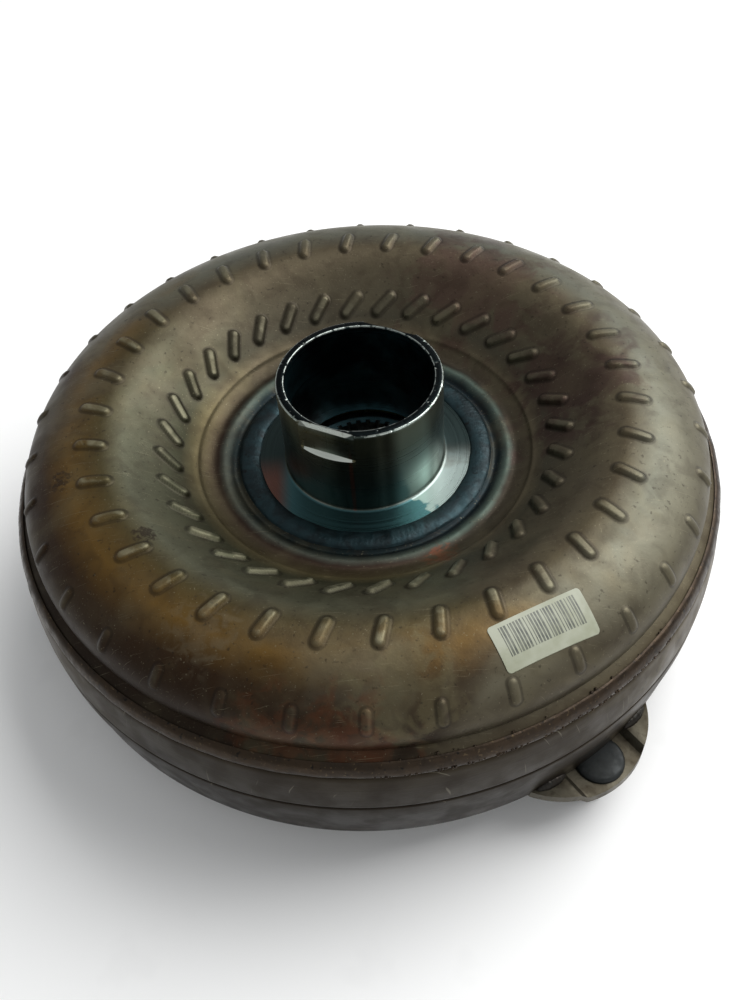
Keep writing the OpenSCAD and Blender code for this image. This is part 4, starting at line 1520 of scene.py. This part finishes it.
@dataclass
class Mounting:
    """The three lugs on the cover's corner, their studs and their welds."""

    corner_centre: Point = (127.3, 22.0)
    corner_r: float = 10.0
    wall_foot_r: float = 137.3
    wall_lean: float = 0.155
    first_deg: float = 303.5
    count: int = 3
    weld_off_deg: float = 8.7
    weld_half_deg: float = 2.5
    weld_size: tuple[float, float] = (4.2, 1.5)
    weld_ripple: float = 1.4
    stud_circle_r: float = 139.5
    round_r: float = 34.4
    tip_r: float = 150.2
    plate_z: float = 14.8
    plate_t: float = 3.8
    press: float = 3.0
    pad_half: float = 14.5
    plate_half_width: float = 29.2
    edge_round: float = 0.7
    head_rise: float = 2.0
    shoulder_r: float = 8.0
    head_r: float = 9.3
    shoulder_z: float = 10.5
    stud_bottom: float = -5.0
    thread_r: float = 5.0
    thread_pitch: float = 1.5

    def cover_r_at(self, z: float) -> float:
        """Find the cover's outside radius at a height, from its corner and lower wall."""
        below = self.corner_centre[1] - z
        if below > 0:
            return self.corner_centre[0] + math.sqrt(max(0.0, self.corner_r ** 2 - below ** 2))
        return self.wall_foot_r - below * self.wall_lean

    def plate(self, turn_deg: float) -> Solid:
        """Build one lug's plate, whose middle is pressed down between two wings.

        Args:
            turn_deg: The lug's direction.

        Returns:
            The points and faces of a closed mesh.
        """
        columns, rows, half_y = 72, 26, self.plate_half_width
        centre = self.tip_r - self.round_r
        layers = []
        for layer in (0, 1):
            for i in range(columns + 1):
                y = -half_y * math.cos(math.pi * i / columns)
                ramp = min(1.0, max(0.0, (abs(y) - self.pad_half + 1.6) / 3.2))
                rise = self.press * ramp * ramp * (3 - 2 * ramp)
                z = self.plate_z + rise + (self.plate_t if layer else 0.0)
                inner = math.sqrt(max(0.0, self.cover_r_at(z) ** 2 - y * y)) - 0.6
                outer = max(inner + 0.8, centre + math.sqrt(self.round_r ** 2 - y * y))
                layers += [(inner + (outer - inner) * k / rows, y, z) for k in range(rows + 1)]
        return self.turned(np.array(layers), turn_deg), sheet_faces(columns, rows)

    def turned(self, points: np.ndarray, turn_deg: float) -> np.ndarray:
        """Turn points about the converter's axis."""
        return points @ np.array(Matrix.Rotation(math.radians(turn_deg), 3, "Z")).T

    def directions(self) -> list[float]:
        """List the directions of the lugs in degrees."""
        return [self.first_deg + 360 * i / self.count for i in range(self.count)]

    def lugs(self, material: bpy.types.Material) -> bpy.types.Object:
        """Build the three lug plates with rounded edges."""
        points, faces = joined([self.plate(turn) for turn in self.directions()])
        lugs = make_piece("mounting_lug_plates", points, faces)
        round_edges(lugs, self.edge_round, 3)
        lugs.data.shade_smooth()
        dress(lugs, material)
        hand_over(lugs, "housing", "cover_steel", "mounting_lugs")
        return lugs

    def stud(self) -> Solid:
        """Build one stud: a domed head, a shoulder and a rolled thread.

        Returns:
            The points and faces of a closed mesh, on the stud circle.
        """
        sides = 48
        top = self.plate_z + self.plate_t
        plain = [(0.0, top + self.head_rise), (4.5, top + 1.95), (7.6, top + 1.75),
                 (8.6, top + 1.45), (9.1, top + 1.0), (self.head_r, top + 0.5),
                 (self.head_r, top + 0.05), (self.thread_r, top - 0.1),
                 (self.thread_r, self.plate_z), (self.shoulder_r, self.plate_z - 0.05),
                 (self.shoulder_r, self.shoulder_z + 0.4), (7.6, self.shoulder_z),
                 (self.thread_r, self.shoulder_z), (4.5, self.shoulder_z - 0.8)]
        steps = 90
        low = self.stud_bottom + 0.9
        start = self.shoulder_z - 1.2
        thread = [(None, start + (low - start) * i / steps) for i in range(steps + 1)]
        end = [(3.9, self.stud_bottom), (0.0, self.stud_bottom)]
        rows = []
        for r, z in [*plain, *thread, *end]:
            for t in np.arange(sides) * 2 * math.pi / sides:
                if r is None:
                    phase = (z / self.thread_pitch - t / (2 * math.pi)) % 1.0
                    fade = min(1.0, (start - z) / 0.9, (z - low) / 0.9 + 0.25)
                    radius = self.thread_r - 0.05 - 0.85 * abs(2 * phase - 1) * max(0.0, fade)
                else:
                    radius = r
                rows.append((self.stud_circle_r + radius * math.cos(t), radius * math.sin(t), z))
        return np.array(rows), tube_faces(len(rows) // sides, sides)

    def studs(self, material: bpy.types.Material) -> bpy.types.Object:
        """Build the three studs."""
        points, faces = self.stud()
        points, faces = joined([(self.turned(points, turn), faces) for turn in self.directions()])
        studs = make_piece("flexplate_studs", points, faces, sharp_deg=40)
        shape = bmesh.new()
        shape.from_mesh(studs.data)
        bmesh.ops.remove_doubles(shape, verts=shape.verts[:], dist=0.001 * MM)
        bmesh.ops.recalc_face_normals(shape, faces=shape.faces[:])
        shape.to_mesh(studs.data)
        shape.free()
        dress(studs, material)
        hand_over(studs, "housing", "stud_steel", "mounting_studs")
        return studs

    def welds(self, material: bpy.types.Material) -> bpy.types.Object:
        """Build the two short fillet welds above each lug's wings."""
        beads = []
        wing_top = self.plate_z + self.plate_t + self.press
        seam_r = self.cover_r_at(wing_top) + 0.5
        for turn in self.directions():
            for side in (-1, 1):
                angles = np.radians(turn + side * self.weld_off_deg
                                    + np.linspace(-self.weld_half_deg, self.weld_half_deg, 46))
                flat = np.stack([np.cos(angles), np.sin(angles), np.zeros_like(angles)], 1)
                path = flat * seam_r + np.array([0, 0, wing_top + 0.35])
                up = (flat + np.array([0, 0, 1.0])) / math.sqrt(2)
                beads.append(swept_bead(f"lug{side}", path, up, *self.weld_size, self.weld_ripple))
        points, faces = joined(beads)
        welds = make_piece("lug_weld_beads", points, faces)
        dress(welds, material)
        hand_over(welds, "housing", "weld_bead_steel", "lug_welds")
        return welds


@dataclass
class Fittings:
    """What is stuck or spot-welded on: the label and the balance weight."""

    label_deg: float = 296.8
    label_askew_deg: float = -3.5
    label_mid_r: float = 117.8
    label_len: float = 34.6
    label_plan_w: float = 14.6
    corner: float = 1.3
    glue_gap: float = 0.06
    paper_top: float = 0.3
    curl: float = 0.75
    curl_from: float = 0.9
    arc_centre: Point = (103.1, 57.4)
    arc_r: float = 38.1
    weight_deg: float = 243.5
    weight_r: float = 72.0
    weight_plan: Point = (16.0, 22.0)
    weight_low_z: float = 14.1
    weight_thickness: float = 1.35
    weight_edge_round: float = 0.25
    dent_off: float = 5.5
    dent_depth: float = 0.7
    dent_spread: float = 4.5

    def on_shell(self, x: float, y: float, above: float) -> tuple[float, float, float]:
        """Drop a plan point onto the shell's outer arc, a little above it."""
        r = math.hypot(x, y)
        reach = self.arc_r + above
        return x, y, self.arc_centre[1] + math.sqrt(reach ** 2 - (r - self.arc_centre[0]) ** 2)

    def label(self, material: bpy.types.Material) -> bpy.types.Object:
        """Build the label as a thin rounded patch that follows the shell, with its own UV map.

        Args:
            material: The label's finish.

        Returns:
            The label.
        """
        columns, rows = 72, 24
        half_u, half_v = self.label_len / 2, self.label_plan_w / 2
        a = math.radians(self.label_deg)
        askew = a + math.radians(self.label_askew_deg)
        out = Vector((math.cos(askew), math.sin(askew)))
        along = Vector((-math.sin(askew), math.cos(askew)))
        middle = Vector((math.cos(a), math.sin(a))) * self.label_mid_r
        points, uvs = [], []
        for above in (self.glue_gap, self.paper_top):
            for i in range(columns + 1):
                u = -half_u * math.cos(math.pi * i / columns)
                over = max(0.0, abs(u) - (half_u - self.corner))
                reach = half_v - self.corner + math.sqrt(max(0.0, self.corner ** 2 - over ** 2))
                for k in range(rows + 1):
                    v = reach * (2 * k / rows - 1)
                    spot = middle + along * u + out * v
                    raised = self.curl * max(0.0, u / half_u - self.curl_from)
                    lift = above if above == self.glue_gap else above + raised
                    points.append(self.on_shell(spot.x, spot.y, lift))
                    uvs.append((u / self.label_len + 0.5, 0.5 - v / self.label_plan_w))
        label = make_piece("bar_label", np.array(points), sheet_faces(columns, rows))
        layer = label.data.uv_layers.new(name="print")
        for corner in label.data.loops:
            layer.data[corner.index].uv = uvs[corner.vertex_index]
        dress(label, material)
        hand_over(label, "housing", "label_paper", "barcode_label")
        return label

    def weight(self, material: bpy.types.Material) -> bpy.types.Object:
        """Build the balance weight, a small plate with two spot-weld dents, under the cover."""
        columns, rows = 56, 40
        deep, long = self.weight_plan
        middle = self.weight_r + deep / 2
        points = []
        for is_low in (True, False):
            for i in range(columns + 1):
                for k in range(rows + 1):
                    x, y = self.weight_r + deep * k / rows, -long / 2 + long * i / columns
                    dent = sum(self.dent_depth
                               * math.exp(-((x - middle) ** 2 + (y - s) ** 2) / self.dent_spread)
                               for s in (-self.dent_off, self.dent_off))
                    points.append((x, y, self.weight_low_z
                                   + (dent if is_low else self.weight_thickness)))
        turn = np.array(Matrix.Rotation(math.radians(self.weight_deg), 3, "Z"))
        weight = make_piece("balance_weight_plate", np.array(points) @ turn.T,
                            sheet_faces(columns, rows))
        round_edges(weight, self.weight_edge_round, 2)
        dress(weight, material)
        hand_over(weight, "housing", "cover_steel", "balance_weight")
        return weight


@dataclass
class Internals:
    """The turning pieces inside: nodes that keep their shape, and the damper's wound springs."""

    spring_ring_r: float = 66.0
    spring_z: float = 32.0
    spring_od: float = 11.0
    wire: float = 2.2
    spring_len: float = 34.0
    springs: int = 6
    turns: float = 10.5

    def springs_piece(self, material: bpy.types.Material) -> bpy.types.Object:
        """Wind the six damper springs."""
        piece = blank_piece("damper_coils")
        tree = coil_springs()
        tree.put_on(piece, Count=self.springs, Ring_radius=self.spring_ring_r * MM,
                    Ring_height=self.spring_z * MM,
                    Length=(self.spring_len - self.wire) * MM,
                    Coil_radius=(self.spring_od - self.wire) / 2 * MM, Wire_radius=self.wire
                    / 2 * MM, Turns=self.turns, Finish=material)
        bake(piece)
        hand_over(piece, "clutch_piston", "spring_steel", "damper_springs")
        return piece

    def dress_nodes(self, finishes: dict[str, bpy.types.Material]) -> None:
        """Give each carried-over node its finish by the record's material slot.

        Args:
            finishes: A material for each slot.
        """
        shown = {part["node"]: part["material_slot"] for part in frame["record"]["subparts"]}
        for node, slot in shown.items():
            dress(frame["nodes"][node], finishes[slot])
            log.info("%s keeps its shape and takes the finish of %s", node, slot)


@dataclass(frozen=True)
class Lamp:
    """A soft square lamp that faces the converter."""

    name: str
    azimuth_deg: float
    elevation_deg: float
    far_m: float
    size_m: float
    watts: float


@dataclass
class Studio:
    """A pale floor, soft lights and the camera."""

    lamps: tuple[Lamp, ...] = (Lamp("key_softbox", 28, 50, 1.6, 1.5, 36),
                               Lamp("fill_softbox", 300, 24, 1.8, 1.2, 3))
    air_colour: str = "#f4f6f8"
    air_strength: float = 0.5
    floor_half: float = 3000.0
    floor_cells: int = 24
    floor_z: float = -5.0
    camera_mm: tuple[float, float, float] = (2.417, -284.064, 372.969)
    elevation_deg: float = 49.696
    roll_deg: float = 4.379
    lens_mm: float = 37.223
    sensor_mm: float = 36.0

    def floor(self) -> None:
        """Lay the floor, which isn't part of the object."""
        half, cells = self.floor_half, self.floor_cells
        grid = [(-half + 2 * half * i / cells, -half + 2 * half * k / cells, self.floor_z)
                for i in range(cells + 1) for k in range(cells + 1)]
        faces = [(i * (cells + 1) + k, (i + 1) * (cells + 1) + k, (i + 1) * (cells + 1) + k + 1,
                  i * (cells + 1) + k + 1) for i in range(cells) for k in range(cells)]
        mesh = bpy.data.meshes.new("studio_floor")
        mesh.from_pydata((np.array(grid) * MM).tolist(), [], faces)
        floor = bpy.data.objects.new("studio_floor", mesh)
        bpy.context.scene.collection.objects.link(floor)
        dress(floor, FLOOR_PAINT.material())

    def hang(self, lamp: Lamp) -> None:
        """Put a lamp in its place, turned towards the converter."""
        light = bpy.data.lights.new(lamp.name, "AREA")
        light.shape, light.size, light.energy = "SQUARE", lamp.size_m, lamp.watts
        a, e = math.radians(lamp.azimuth_deg), math.radians(lamp.elevation_deg)
        place = Vector((math.cos(a) * math.cos(e), math.sin(a) * math.cos(e),
                        math.sin(e))) * lamp.far_m
        holder = bpy.data.objects.new(lamp.name, light)
        holder.location = place
        holder.rotation_euler = place.to_track_quat("Z", "Y").to_euler()
        bpy.context.scene.collection.objects.link(holder)

    def build(self) -> None:
        """Set the floor, the lamps, the surroundings and the camera."""
        self.floor()
        for lamp in self.lamps:
            self.hang(lamp)
        world = bpy.data.worlds.new("studio_air")
        world.use_nodes = True
        air = world.node_tree.nodes["Background"].inputs
        air["Color"].default_value = srgb(self.air_colour)
        air["Strength"].default_value = self.air_strength
        bpy.context.scene.world = world
        camera = bpy.data.cameras.new("studio_camera")
        camera.lens, camera.sensor_fit = self.lens_mm, "VERTICAL"
        camera.sensor_height = self.sensor_mm
        view = bpy.data.objects.new("studio_camera", camera)
        tilt = Matrix.Rotation(math.radians(90 - self.elevation_deg), 4, "X")
        roll = Matrix.Rotation(math.radians(-self.roll_deg), 4, "Z")
        view.matrix_world = Matrix.Translation(Vector(self.camera_mm) * MM) @ tilt @ roll
        bpy.context.scene.collection.objects.link(view)
        bpy.context.scene.camera = view
        bpy.context.scene.view_settings.view_transform = "Standard"


def main() -> None:
    """Build the converter's pieces in order around the frame."""
    logging.basicConfig(level=logging.INFO, format="%(name)s: %(message)s")
    shell_steel = HeatTintedSteel().material()
    hub_steel = GroundHubSteel().material()
    cover_steel = DrawnCoverSteel().material()
    closing = CLOSING_WELD.material()
    blued = BLUED_WELD.material()
    pilot_steel = PILOT_STEEL.material()
    lug_steel = LUG_STEEL.material()
    stud_steel = STUD_STEEL.material()
    label_stock = BarLabelStock().material()
    spring_steel = SPRING_STEEL.material()
    internals = Internals()
    internals.dress_nodes({"tinted_shell_steel": shell_steel,
                           "machined_hub_steel": hub_steel,
                           "weld_bead_steel": blued, "closing_weld_steel": closing,
                           "cover_steel": cover_steel, "pilot_steel": pilot_steel,
                           "stud_steel": stud_steel, "label_paper": label_stock,
                           "vane_steel": VANE_STEEL.material(),
                           "turbine_steel": SHEET_STEEL.material(),
                           "race_steel": RACE_STEEL.material(),
                           "cast_stator_alloy": STATOR_ALLOY.material(),
                           "cage_alloy": CAGE_BRASS.material(),
                           "spring_steel": spring_steel,
                           "washer_resin": WASHER_RESIN.material(),
                           "lining_paper": LINING_PAPER.material(),
                           "seal_rubber": SEAL_RUBBER.material()})
    ImpellerShell().build(shell_steel)
    hub = PumpHub()
    hub.build(hub_steel)
    hub.weld(blued)
    cover = CoverSide()
    cover.build(cover_steel)
    cover.closing_weld(closing)
    cover.spatter(closing)
    cover.pilot(pilot_steel, blued)
    mounting = Mounting()
    mounting.lugs(lug_steel)
    mounting.studs(stud_steel)
    mounting.welds(blued)
    fittings = Fittings()
    fittings.label(label_stock)
    fittings.weight(lug_steel)
    internals.springs_piece(spring_steel)
    Studio().build()
    log.info("done")


if __name__ == "__main__":
    main()
